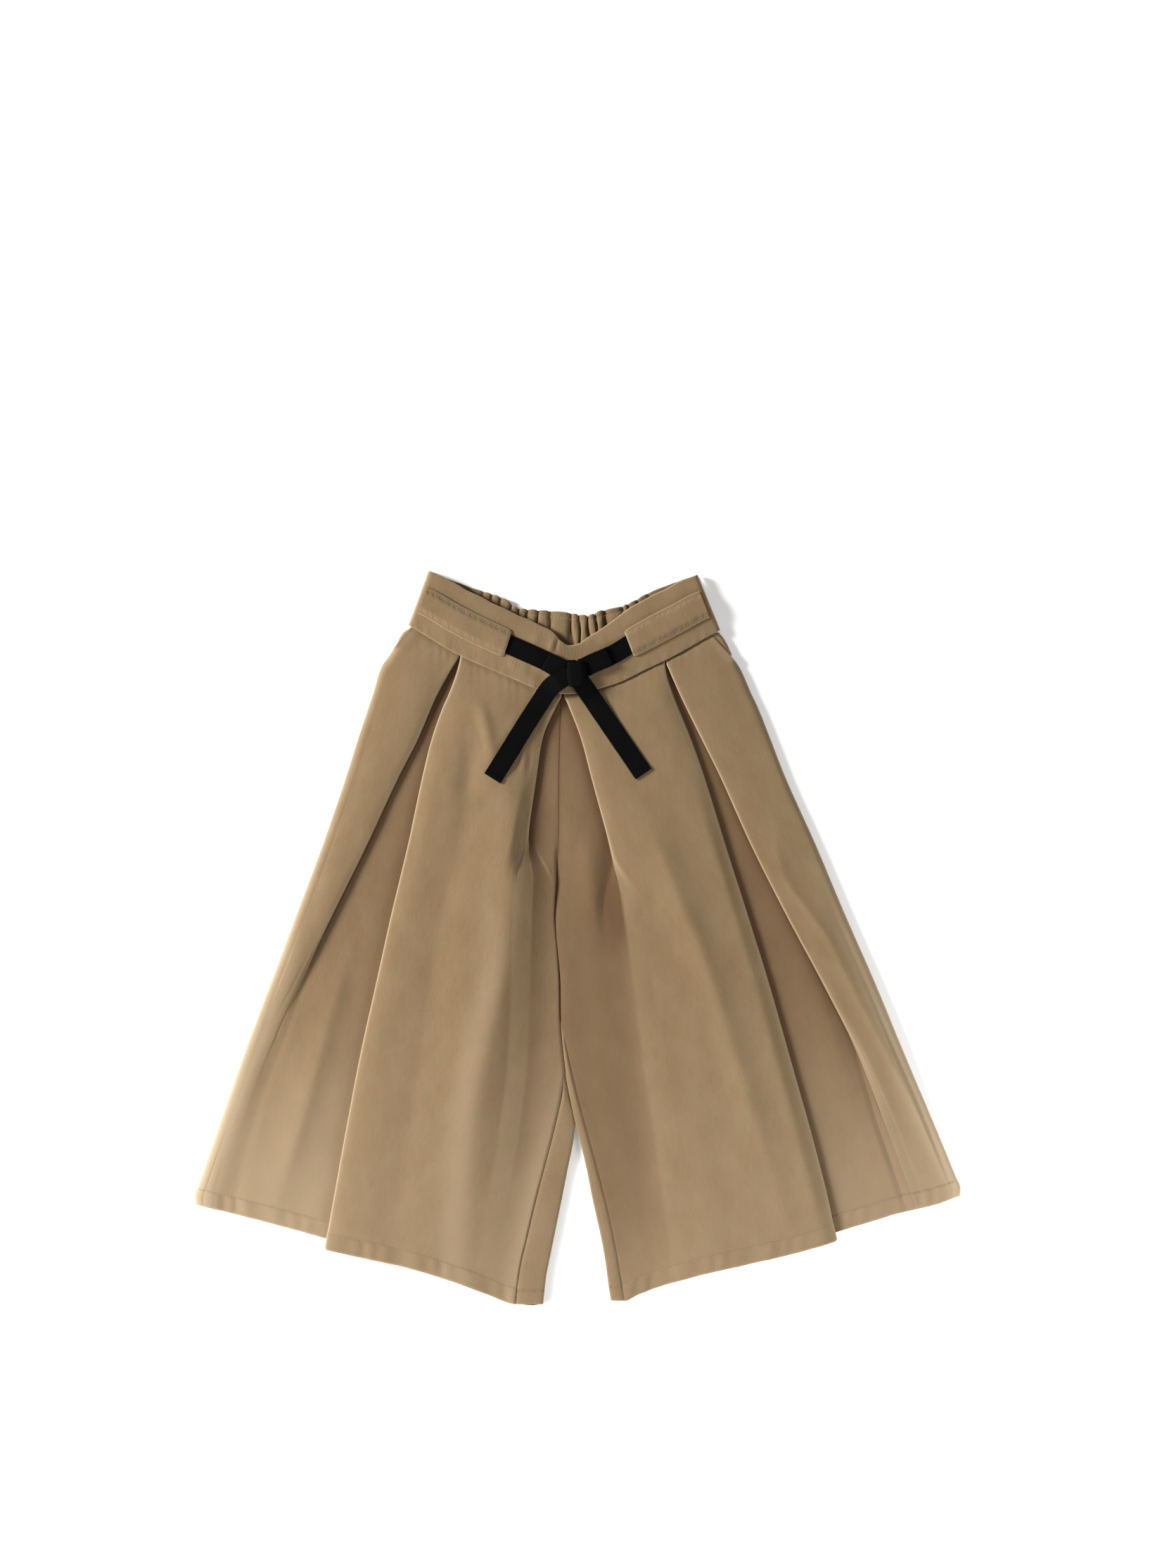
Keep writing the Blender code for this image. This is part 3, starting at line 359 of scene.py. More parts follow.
# Valleys between the gathers of the back waistband: across, the puffs' height, and how far
# the ruffled edge stands above its line there
GATHERS = (
    (-120, 0, 0), (-100, 0.3, 0.2), (-87, 0.5, 0.5), (-76.4, 0.9, 1),
    (-69.5, 1.2, 1.1), (-62.7, 1.2, 1.3), (-53.6, 1.6, 1.4), (-47.9, 1.1, 0.9),
    (-41, 1.4, 1.2), (-32.5, 1.5, 0.9), (-23.4, 1.4, 0.7), (-5.7, 1.8, 0.6),
    (0, 1.5, 1.1), (7.4, 1.8, 1.3), (13.1, 2, 1.4), (20.5, 1.5, 0.9),
    (35.9, 1.4, 0.7), (39.5, 1.1, 1), (47.3, 1, 0.8), (56, 0.6, 0.5),
    (70, 0.2, 0.2), (84, 0.1, 0.1), (96, 0, 0),
)

# The bow: the knot, and the middle line of each tail as across, up
KNOT_TOP, KNOT_FOOT = (-1.7, 224.6), (-0.9, 205.2)
KNOT_WIDTHS = (13.6, 15.2, 15, 12)
LEFT_TAIL = ((-7, 215.5), (-14.5, 210.3), (-22.5, 204.2), (-29, 195), (-69.5, 130.5))
RIGHT_TAIL = ((-2.4, 214), (4, 205.8), (11.5, 194.8), (53, 134))


def smooth(share):
    share = np.clip(share, 0.0, 1.0)
    return share * share * (3.0 - 2.0 * share)


def blend(a, b, share):
    return a + (b - a) * share


def bell(away, width):
    """1 at a line, and falling to 0 on both its sides."""
    return np.exp(-((away / width) ** 2))


def fading(beyond, width):
    """1 up to an edge, and falling to 0 beyond it."""
    return np.exp(-np.maximum(beyond, 0.0) / width)


def plateau(inside, width):
    """From 0 at an edge to 1 well inside it."""
    return 1.0 - fading(inside, width)


def even_slope(a, b):
    same = a * b > 0.0
    return np.where(same, 2.0 * a * b / np.where(same, a + b, 1.0), 0.0)


def curve(table, at, key=0, value=1):
    """Heights of a smooth curve through a table's rows, with no overshoot."""
    rows = sorted(table, key=lambda row: row[key])
    keys = np.array([row[key] for row in rows], float)
    values = np.array([row[value] for row in rows], float)
    at = np.clip(np.asarray(at, float), keys[0], keys[-1])
    i = np.clip(np.searchsorted(keys, at, side="right") - 1, 0, len(keys) - 2)
    step = np.diff(values) / np.diff(keys)
    slope_in = even_slope(step[np.maximum(i - 1, 0)], step[i])
    slope_out = even_slope(step[i], step[np.minimum(i + 1, len(step) - 1)])
    width = keys[i + 1] - keys[i]
    t = (at - keys[i]) / width
    return (
        values[i] * (2 * t**3 - 3 * t**2 + 1)
        + slope_in * width * (t**3 - 2 * t**2 + t)
        + values[i + 1] * (3 * t**2 - 2 * t**3)
        + slope_out * width * (t**3 - t**2)
    )


def relief(ridges, out, up):
    """Height of the soft ridges and troughs."""
    height = np.zeros_like(out)
    for (outer, inner, radius), rows in ridges:
        away = out - curve(rows, up)
        width = np.where(away > 0.0, outer, inner)
        height += curve(rows, up, 0, 2) * np.exp(-(np.hypot(away, radius) - radius) / width)
    return height


def creased(creases, across, up):
    """Height of the short creases, each along a bent line that fades at both ends."""
    height = np.zeros_like(across)
    for x_1, y_1, x_2, y_2, x_3, y_3, width, tall in creases:
        nearest = np.full(across.shape, 1e9)
        along = np.zeros(across.shape)
        for t in np.linspace(0.0, 1.0, 33):
            x = (1 - t) ** 2 * x_1 + 2 * t * (1 - t) * x_2 + t * t * x_3
            y = (1 - t) ** 2 * y_1 + 2 * t * (1 - t) * y_2 + t * t * y_3
            distance = np.hypot(across - x, up - y)
            along = np.where(distance < nearest, t, along)
            nearest = np.minimum(nearest, distance)
        fade = smooth(along / 0.35) * smooth((1.0 - along) / 0.35)
        height += tall * fade * bell(nearest, width)
    return height


def drift(across, up, size, seed):
    """A gentle unevenness of about -1 to 1, with waves near the given size."""
    total = np.zeros(np.broadcast(across, up).shape)
    for n in range(5):
        angle = seed * 1.7 + n * 1.257
        run = across * math.cos(angle) + 0.6 * up * math.sin(angle)
        long = size * (0.75 + 0.17 * n)
        total += np.sin(2 * math.pi * run / long + seed * 2.3 + n * 1.9)
    return total / 3.0


# ---------------------------------------------------------------- meshes

def place_of(points):
    """World places in metres of table points in millimetres."""
    moved = np.array(points, float)
    moved[..., 0] -= CENTRE[0]
    moved[..., 1] -= CENTRE[1]
    return moved * MM


def new_piece(name, points, faces):
    mesh = bpy.data.meshes.new(name)
    mesh.from_pydata(place_of(points).tolist(), [], faces)
    mesh.update()
    piece = bpy.data.objects.new(name, mesh)
    bpy.context.scene.collection.objects.link(piece)
    return piece


def stacked(columns):
    """A grid (rows, columns, 3) from columns of across, up and height."""
    return np.stack([np.stack(np.broadcast_arrays(*c), axis=-1) for c in columns], axis=1)


def run_lengths(grid, axis):
    """Cloth length along one axis of a grid, from its first line."""
    steps = np.linalg.norm(np.diff(grid, axis=axis), axis=-1)
    start = np.zeros_like(np.take(steps, [0], axis=axis))
    return np.concatenate([start, np.cumsum(np.nan_to_num(steps), axis=axis)], axis=axis)


def cloth_mesh(name, grid, wall, weave=None, wear_and_light=0.0, painted_shade=0.0, walls=None, round_edge=0.0):
    """A wall of cloth through a grid of points (rows, columns, 3). NaN points are left out.

    weave holds the cloth's own coordinates in millimetres, which are its run lengths if none
    are given. The next value lightens each point, partly as rubbed edges and partly as painted
    highlights and painted light; the one after darkens it with painted shade in the pleats, beside
    folds and along seams and stitch lines. walls is its share of the full wall.
    """
    used = ~np.isnan(grid[..., 2])
    index = np.full(used.shape, -1)
    index[used] = np.arange(used.sum())
    quads = np.stack([index[:-1, :-1], index[1:, :-1], index[1:, 1:], index[:-1, 1:]], axis=-1)
    quads = quads.reshape(-1, 4)
    piece = new_piece(name, grid[used], quads[(quads >= 0).all(axis=1)].tolist())
    mesh = piece.data
    if sum(face.normal.z * face.area for face in mesh.polygons) < 0:
        mesh.flip_normals()
    threads = np.zeros(grid.shape)
    threads[..., 0], threads[..., 1] = weave or (run_lengths(grid, 0), run_lengths(grid, 1))
    made = mesh.attributes.new("weave", "FLOAT_VECTOR", "POINT")
    made.data.foreach_set("vector", threads[used].ravel())
    for kind, values in (("wear_and_light", wear_and_light), ("painted_shade", painted_shade)):
        made = mesh.attributes.new(kind, "FLOAT", "POINT")
        made.data.foreach_set("value", np.broadcast_to(values, used.shape)[used])
    mesh.shade_smooth()
    solid = piece.modifiers.new("Wall", "SOLIDIFY")
    solid.thickness = wall * MM
    solid.offset = 0.0
    if walls is not None:
        walls = np.broadcast_to(np.round(walls, 3), used.shape)
        group = piece.vertex_groups.new(name="Wall")
        for level in np.unique(walls[used]):
            group.add(index[used][walls[used] == level].tolist(), float(level), "REPLACE")
        solid.vertex_group = group.name
    if round_edge:
        bevel = piece.modifiers.new("Edges", "BEVEL")
        bevel.width = round_edge * MM
        bevel.segments = 2
        bevel.limit_method = "ANGLE"
        bevel.angle_limit = math.radians(62.0)
    return piece


# ---------------------------------------------------------------- legs

def turns(edge, valley, top, low, side, folded, opening):
    """A pleat's S from the top layer round the fold edge and back under to the low layer.

    Where it isn't folded any more, it is a soft slope, as opening says: its half width and
    how far it is moved.
    """
    radius = (top - low) / 4
    angles = [math.pi / 2 - math.pi * n / TURN_STEPS for n in range(TURN_STEPS + 1)]
    # Each point's third value is how pale it is at the fold edge: rubbed there, and a painted
    # highlight
    points = [
        (edge + side * radius * (1.0 - math.cos(angle)), top - radius + radius * math.sin(angle),
         max(0.0, 1.0 - abs(n / TURN_STEPS - 0.30) / 0.45))
        for n, angle in enumerate(angles)
    ]
    points += [
        (valley - side * radius * (1.0 - math.cos(angle)), low + radius + radius * math.sin(angle),
         0.0)
        for angle in angles
    ]
    spread, shift = opening
    made = []
    for n, (out, height, wear_and_light) in enumerate(points):
        way = n / (len(points) - 1)
        soft = edge + side * (shift + spread * (1 - 2 * way))
        made.append((blend(soft, out, folded),
                     blend(blend(top, low, smooth(way)), height, folded), wear_and_light * folded))
    return made


class Columns:
    """The columns of a leg's front, each an array with one value for every row."""

    def __init__(self, rows):
        self.rows = rows
        self.data = []

    def put(self, out, height, hem=0.0, free=0.0, wear_and_light=0.0):
        values = (out, height, hem, free, wear_and_light)
        self.data.append([np.broadcast_to(np.asarray(v, float), (self.rows,)) for v in values])

    def fill(self, start, end, count, hem, reach=0.2, open_start=0.0, open_end=0.0):
        """Even columns between two, free to rise but at an end that isn't open."""
        for n in range(1, count + 1):
            way = n / (count + 1)
            free = blend(smooth(way / reach), 1.0, open_start) * blend(
                smooth((1 - way) / reach), 1.0, open_end)
            self.put(blend(start[0], end[0], way), blend(start[1], end[1], way), hem, free)

    def arrays(self):
        return [np.stack([column[i] for column in self.data], axis=1) for i in range(5)]


class Leg:
    """One leg from its tables. hand is -1 on the left and +1 on the right.

    Places are out, which grows from the garment's middle line to the leg's side, and up.
    """

    def __init__(self, name, hand, **tables):
        self.name = name
        self.hand = hand
        for kind, table in tables.items():
            setattr(self, kind, table)
        self.side_top = self.rows[0][0]
        self.pleat_top = self.seam_up(self.rows[2][2])
        self.front_top = FRONT_SEAM[0][0]
        self.foot_fold = self.outer_up(self.guide(2, FOLD_FEET[0]))
        self.foot_centre = self.centre_up(self.guide(3, FOLD_FEET[1]))
        self.foot_front = self.centre_up(self.guide(4, FOLD_FEET[2]))

    def guide(self, column, up):
        """Out of a line at a height: 1 side, 2 outer fold, 3 centre fold, 4 front fold."""
        return curve(self.rows, up, 0, column)

    def guide_inner(self, up):
        return self.hand * curve(self.inner, up)

    def seam_up(self, out):
        return curve(WAIST_SEAM, self.hand * np.asarray(out, float))

    def outer_up(self, out):
        return curve(self.outer_hem, out)

    def centre_up(self, out):
        return curve(self.centre_hem, out)

    def seam_out(self, up):
        return self.hand * curve(self.inseam, up)

    def seam_height(self, up, low):
        """Height of the cloth along the centre-front seam and the inseam."""
        if self.hand < 0:
            return blend(low, INSEAM_Z, curve(LEFT_SEAM_RISE, up))
        return curve(RIGHT_SEAM_HEIGHT, up)

    def back_wall(self, share):
        return blend(LEG_WALL, HEM_WALL, smooth((share - 0.94) / 0.03))

    def front_columns(self, share):
        """Columns from the side fold to the inseam, for an array of shares down the leg."""
        low = curve(LAYERS, share, 0, 1)
        top = low + 2 * curve(LAYERS, share, 0, 2)
        side_up = blend(self.side_top, self.foot_side, share)
        fold_up = blend(self.pleat_top, self.foot_fold, share)
        centre_up = blend(self.pleat_top, self.foot_centre, share)
        front_up = blend(self.front_top, self.foot_front, share)
        seam_up = blend(self.front_top, self.foot_seam, share)
        outer = self.guide(2, fold_up)
        centre = self.guide(3, centre_up)
        front = self.guide(4, front_up)
        seam = self.seam_out(seam_up) + SEAM_GAP / 2
        folded, depth = (curve(self.side_pleat, fold_up, 0, i) for i in (1, 2))
        front_folded, front_depth = (curve(self.front_pleat, front_up, 0, i) for i in (1, 2))
        outer_top = blend(low + OPENED_RISE, top, smooth(folded * 1.5))
        end = self.seam_height(seam_up, low)
        self.edges = [v[:, None] for v in (outer, centre, front, seam, folded, front_folded)]

        made = Columns(len(share))
        last_run = self.side_run(made, self.guide(1, side_up), side_up, outer_top, share)
        side_open = 1.0 - folded
        pleat = turns(outer, outer + depth, outer_top, low, 1, folded, SIDE_OPENING)
        made.fill(last_run, pleat[0], OUTER_COLUMNS, 0.0, 0.12, open_end=side_open)
        for out, height, wear_and_light in pleat:
            made.put(out, height, 0.0, side_open, wear_and_light)
        inner = turns(centre, centre - TUCK_DEPTH, top, low, -1, 1.0, SIDE_OPENING)[::-1]
        made.fill(pleat[-1], inner[0], UNDERLAY_COLUMNS, 0.0, open_start=side_open)
        for n, (out, height, wear_and_light) in enumerate(inner):
            made.put(out, height, n / (len(inner) - 1), 0.0, wear_and_light)
        front_open = 1.0 - front_folded
        lift = (end - low) * front_open / (top - low)
        drop = [
            (out, height + lift * (top - height), wear_and_light) for out, height, wear_and_light in
            turns(front, front + front_depth, top, low, 1, front_folded, self.opening)
        ]
        made.fill(inner[-1], drop[0], CENTRE_COLUMNS, 1.0, 0.12, open_end=front_open)
        for out, height, wear_and_light in drop:
            made.put(out, height, 1.0, front_open, wear_and_light)
        made.fill(drop[-1], (seam, end), MIDDLE_COLUMNS, 1.0, open_start=front_open)
        for inset, dip in SEAM_EDGE:
            made.put(seam + inset, end - dip * smooth((end - 1.6) / 1.5), 1.0)
        return made.arrays()

    def side_run(self, made, side, up, top, share):
        """The outer edge: round over the side seam, or flat along the pocket mouth."""
        mouth = 1.0 - smooth((self.rows[1][0] - up) / 5.0)
        foot = self.back_wall(share) + SEAM_GAP
        for n in range(SIDE_COLUMNS):
            way = n / (SIDE_COLUMNS - 1)
            angle = math.pi / 2 * way
            round_out = side - 0.5 - 5.5 * (1.0 - math.cos(angle)) ** 1.25
            out = blend(round_out, side - 6.5 * way, mouth)
            height = blend(blend(foot, top, math.sin(angle) ** 0.9), top, mouth)
            made.put(out, height, 0.0, 0.0, 0.8 * math.sin(angle) * (1.0 - way))
        return out, height

    def front(self):
        """The front leg, from the side seam to the inseam."""
        share = np.concatenate([
            np.zeros(len(ABOVE_SEAM)), np.linspace(0.0, 0.0595, 22),
            np.linspace(0.064, 0.948, 132), np.linspace(0.952, 1.0, 26),
        ])
        rows = share[:, None]
        over = np.zeros_like(rows)
        over[:len(ABOVE_SEAM), 0] = ABOVE_SEAM
        out, height, hem, free, wear_and_light = self.front_columns(share)
        foot_up = blend(self.outer_up(out[-1]), self.centre_up(out[-1]), hem[-1])
        up = blend(self.seam_up(out[0]) - EDGE_GAP, foot_up, rows) + over
        below = rows * FRONT_LENGTH - over
        above_hem = up - foot_up
        low, spacing = (curve(LAYERS, share, 0, i)[:, None] for i in (1, 2))
        height = low + (height - low) * (1.0 - 0.40 * smooth((3.2 - below) / 5.9))
        height = self.lifted(out, up, below, height, free, spacing)
        ripple = np.sin(out / 2.6 + 1.7 * np.sin(out / 9.0)) + 0.6 * np.sin(out / 5.9)
        in_hem = smooth((HEM_DEPTH + 1.0 - above_hem) / 3.0) * smooth(above_hem / 2.0)
        height += 0.26 * ripple * in_hem - 0.22 * bell(above_hem - HEM_DEPTH, 0.8)
        height -= 0.35 * smooth((1.6 - above_hem) / 1.6)

        grid = np.stack([self.hand * out, up, height], axis=-1)
        run = run_lengths(grid, 1)
        way = grid[-1, SPINE, :2] - grid[0, SPINE, :2]
        way /= np.linalg.norm(way)
        weave = (run - run[:, SPINE][:, None], grid[..., 0] * way[0] + up * way[1])
        walls = blend(LEG_WALL / HEM_WALL, 1.0, smooth((rows - HEM_FROM + 0.004) / 0.008))
        return cloth_mesh(
            "cloth_front_leg_" + self.name, grid, HEM_WALL, weave,
            self.wear_and_painted_light(out, up, above_hem, wear_and_light), self.painted_shade_of(out, up, above_hem), walls, 0.25)

    def lifted(self, out, up, below, height, free, spacing):
        """Heights of the front with its rounded folds, ridges, creases and waves."""
        folded, front_folded = self.edges[4:]
        across = self.hand * out
        lifts = relief(self.ridges, out, up) + creased(CREASES, across, up)
        lifts += 0.22 * drift(across, up * 0.5, 46.0, 1.0 + self.hand)
        pucker = np.sin(out * 0.78 + 1.3 * np.sin(out * 0.23)) * np.exp(-below / 9.0)
        lifts += 0.16 * pucker * smooth(below / 2.0)
        side, outer, centre, front = (
            out[:, k:k + 1] for k in (0, OUTER_END, CENTRE_START - 1, CENTRE_END))
        roll = self.side_roll * plateau(side - 6.0 - out, 11.0) * plateau(out - outer, 7.0)
        centre_roll = CENTRE_ROLL * plateau(centre - out, 6.0) * plateau(
            out - front, blend(20.0, 6.0, front_folded))
        rolled = smooth((below - 4.0) / 26.0) * np.where(OUTER_PANEL, roll, centre_roll)
        deepest = LEG_WALL + SEAM_GAP + 0.15 - spacing
        height = height + np.where(
            OUTER_PANEL | CENTRE_PANEL, np.maximum(deepest, rolled + free * lifts), 0.0)
        settled = np.maximum(height + (1.0 - front_folded) * free * lifts,
                             np.minimum(height, UNDERLAY_Z))
        height = np.where(COLUMN >= CENTRE_END, settled, height)
        soft = (1.0 - folded) * lifts
        low_lift = np.clip(relief(self.under_ridges, out, up), 0.0, 3.0)
        low_lift += 0.14 * (1.0 + drift(across, up, 30.0, 4.0))
        height += np.where(UNDERLAY, free * (low_lift + soft), 0.0)
        height += np.where((COLUMN >= OUTER_END) & (COLUMN < UNDERLAY_START), free * soft, 0.0)
        return height + np.where(MIDDLE, free * relief(self.middle_ridges, out, up), 0.0)

    def wear_and_painted_light(self, out, up, above_hem, wear_and_light):
        """How pale each point is: rubbed edges, painted highlights on edges and crest, painted
        light towards the hem.
        """
        wear_and_light = np.maximum(wear_and_light, 0.75 * smooth((1.8 - above_hem) / 1.8))
        # painted highlight along the side edge, and painted light paler towards the hem
        pale = 1.7 * bell(out[:, :1] - out, 10.0) * smooth((130.0 - up) / 260.0)
        pale += 0.75 * smooth((-40.0 - up) / 190.0)
        wear_and_light = wear_and_light + pale * (COLUMN < CENTRE_START - HALF_TURN)
        if self.hand < 0:
            # painted highlights: paler by the seam low down, and along the main crest
            wear_and_light += 0.9 * fading(out - self.edges[3], 14.0) * smooth((-70.0 - up) / 70.0)
            crest = bell(out - curve(self.ridges[0][1], up) - 10.0, 13.0)
            wear_and_light += 0.55 * crest * smooth((60.0 - up) / 90.0) * CENTRE_PANEL
        return wear_and_light

    def painted_shade_of(self, out, up, above_hem):
        """Painted shade at each point, from 0 to 1: in the underlays, by the folds and seam, and
        along the hem's stitch line.
        """
        outer, centre, front, seam, folded, _ = self.edges
        # painted shade: the underlays darker, and darker still beside the outer fold
        side = curve(self.under_depth, up) + 0.75 * folded * fading(outer - out, 5.0)
        if self.hand < 0:
            shut = 0.15 + 0.85 * smooth((up + 30.0) / 120.0)
            near = smooth((170.0 - np.abs(up + 75.0)) / 120.0)
            foot = bell(out - front, 20.0)
        else:
            shut = 1.0
            near = smooth((205.0 - np.abs(up + 105.0)) / 120.0)
            foot = bell(np.maximum(out - front + 8.0, 0.0), 14.0)
            foot += 1.1 * bell(out - 32.0, 18.0) * bell(up - 28.0, 42.0)
        side = side + 0.62 * shut * fading(out - centre, 5.0)
        # painted shade inside the front pleat, along the seam and over the centre panel
        inside = smooth((up + 25.0) / 85.0) * (0.30 + 0.75 * fading(front - 3.0 - out, 8.0))
        inside += 0.55 * fading(out - seam, 1.0)
        shade = smooth((140.0 - out) / 110.0) * near * (0.15 + 0.34 * foot)
        under = (COLUMN >= UNDERLAY_START - HALF_TURN) & (COLUMN < CENTRE_START - HALF_TURN)
        painted_shade = np.where(under, side, np.where(CENTRE_PANEL, shade, 0.0))
        painted_shade = np.where(COLUMN >= MIDDLE_START - HALF_TURN, shade + inside, painted_shade)
        return np.clip(painted_shade + 0.10 * bell(above_hem - HEM_DEPTH, 0.8), 0.0, 1.0)

    def back(self):
        """The back leg: flat under the front, round the inner leg and up to the inseam."""
        share = np.concatenate([np.linspace(0.0, 0.945, 96), np.linspace(0.95, 1.0, 22)])
        flat = self.back_wall(share) / 2
        top_inner = curve(BACK_SEAM, self.hand * self.guide_inner(210.0))
        top_side = self.side_top + 1.5
        inner_up = blend(top_inner, self.foot_seam, share)
        inner = self.guide_inner(inner_up) + CROTCH_GAP / 2
        side = self.guide(1, blend(top_side, self.foot_side + 2.0, share))
        under_front = 0.5 * smooth((inner_up + 112.0) / 12.0) * (self.hand < 0)
        radius = (INSEAM_Z - flat) / 2 * (1.0 - under_front)
        columns = []
        for way in np.linspace(0.0, 1.0, 45):
            out = blend(side, inner + radius, way)
            top_up = curve(BACK_SEAM, self.hand * blend(self.guide(1, top_side), inner, way))
            up = blend(top_up - EDGE_GAP, self.back_hem(out, way), share)
            columns.append((out, up, flat))
        shown = inner_up <= self.strip_top
        hidden = np.where(shown, 0.0, np.nan)
        steps = 8
        for n in range(1, steps + 1):
            angle = -math.pi / 2 + math.pi * n / steps
            out = inner + radius - radius * math.cos(angle) + LEG_WALL / 2
            z = flat + radius + radius * math.sin(angle)
            if n == 1:
                out = np.where(shown, out, inner + SEAM_GAP / 2 + 0.1)
                columns.append((out, inner_up, np.where(shown, z, flat)))
            else:
                columns.append((out + hidden, inner_up, z + hidden))
        turn_end = inner + radius + LEG_WALL / 2
        inseam = np.maximum(self.seam_out(inner_up) - SEAM_GAP / 2 - 0.1, turn_end + 0.4)
        for n in range(1, steps + 1):
            way = n / steps
            out = blend(turn_end, inseam, way)
            dip = 0.5 * smooth((1.4 - (inseam - out)) / 1.4)
            dip += 0.6 * smooth((inner_up + 112.0) / 36.0) * way
            z = flat + 2.0 * radius + 0.35 * math.sin(math.pi * way) - dip
            columns.append((out + hidden, inner_up, z + hidden))
        grid = stacked(columns)
        out, up, z = (grid[..., i].copy() for i in range(3))
        above_hem = up - up[-1]
        stitched = bell(above_hem - HEM_DEPTH + 2.0, 0.8) * (z > 3.0)
        grid[..., 0] *= self.hand
        grid[..., 2] -= 0.30 * stitched
        on_top = grid[..., 2] > 2.0
        walls = blend(LEG_WALL / HEM_WALL, 1.0, smooth((share - 0.955) / 0.02))[:, None]
        # painted shade along the hem's stitch line and over the strip that lies on top
        return cloth_mesh(
            "cloth_back_leg_" + self.name, grid, HEM_WALL, (run_lengths(grid, 1), -up),
            0.7 * smooth((1.8 - above_hem) / 1.8) * on_top, 0.45 * stitched + 0.12 * on_top,
            walls, 0.25)

    def back_hem(self, out, way):
        """The back hem lies just inside the front's, and meets it at the inner leg."""
        start, end = BACK_HEM_CHANGE
        change = (out - start) / (end - start)
        inner = self.centre_up(np.maximum(out, HEM_INNER_END))
        front = np.where(out > end, self.outer_up(out), inner)
        middle = blend(self.centre_up(start), self.outer_up(end), change)
        front = np.where((out > start) & (out <= end), middle, front)
        return front + 2.0 * (1.0 - smooth((way - 0.75) / 0.25))


# ---------------------------------------------------------------- waistband

def band_places(way, down):
    """Points of the front waistband's mid surface: way along it, down its height."""
    lines = [(n / (len(BAND_LINES) - 1),) + line for n, line in enumerate(BAND_LINES)]
    top, foot = (np.stack([curve(lines, way, 0, i), curve(lines, way, 0, i + 1)], axis=-1)
                 for i in (1, 3))
    rise = top - foot
    rise /= np.linalg.norm(rise, axis=-1, keepdims=True)
    foot = foot + rise * 0.2
    down = np.broadcast_to(down, way.shape).astype(float)
    height = BAND_Z - 1.1 * smooth((down - 0.6) / 0.4) + 0.5 * np.sin(math.pi * down)
    flat = blend(top, foot, down[:, None])
    return np.concatenate([flat, height[:, None]], axis=-1), rise


def folded_band(name, ways, rises, place, ply, half, foot_z, painted_shade=0.0):
    """A doubled band: up its outer face, round the top edge and down its inner face."""
    downs = (1.0, 0.99, 0.975, 0.955) + tuple(np.linspace(0.93, 0.03, 24))
    path = [(d, half * smooth((1.02 - d) / 0.05), 0.0) for d in downs]
    path += [(0.0, half * math.cos(a), half * math.sin(a)) for a in np.linspace(0.0, math.pi, 7)]
    path += [(d, -half * smooth((1.02 - d) / 0.05), 0.0) for d in np.linspace(0.08, 1.0, 10)]
    columns = []
    for down, offset, over in path:
        middle, rise = place(ways, down)
        middle[:, 2] = blend(foot_z, middle[:, 2], rises) + offset
        middle[:, :2] += rise * over
        columns.append(middle)
    wear_and_light = np.array([0.9 * (o > 0.0) + 0.35 * (abs(h) < half * 0.7) for d, h, o in path])
    # painted light: the band's ends, where they round down to the seams, are made paler
    wear_and_light = np.clip(wear_and_light, 0.0, 1.0) + 1.3 * (1.0 - rises)[:, None]
    return cloth_mesh(name, np.stack(columns, axis=1), ply, None, wear_and_light, painted_shade)


def front_band():
    """The front waistband, in small creases, bent down to the seams at its ends."""
    side_ways, side_rises = np.array(BAND_SIDE).T
    inner = np.linspace(0.034, 0.966, 230)
    ways = np.concatenate([side_ways, inner, 1.0 - side_ways[::-1]])
    rises = np.concatenate([side_rises, np.ones(len(inner)), side_rises[::-1]])

    def place(way, down):
        middle, rise = band_places(way, down)
        x, y = middle[:, 0].copy(), middle[:, 1].copy()
        ripple = np.sin(x * 0.62 + 1.4 * np.sin(x * 0.19))
        middle[:, 2] += creased(BAND_CREASES, x, y) + 0.16 * drift(x, y, 34.0, 3.0)
        middle[:, 2] += 0.12 * ripple * smooth((down - 0.8) / 0.2)
        middle[:, :2] += rise * (0.22 * np.sin(x * 0.31 + 1.0) * (1.0 - down))[:, None]
        return middle, rise

    return folded_band("cloth_front_waistband", ways, rises, place, PLY, BAND_WALL / 4,
                       BACK_BAND_WALL + SEAM_GAP + 0.3)


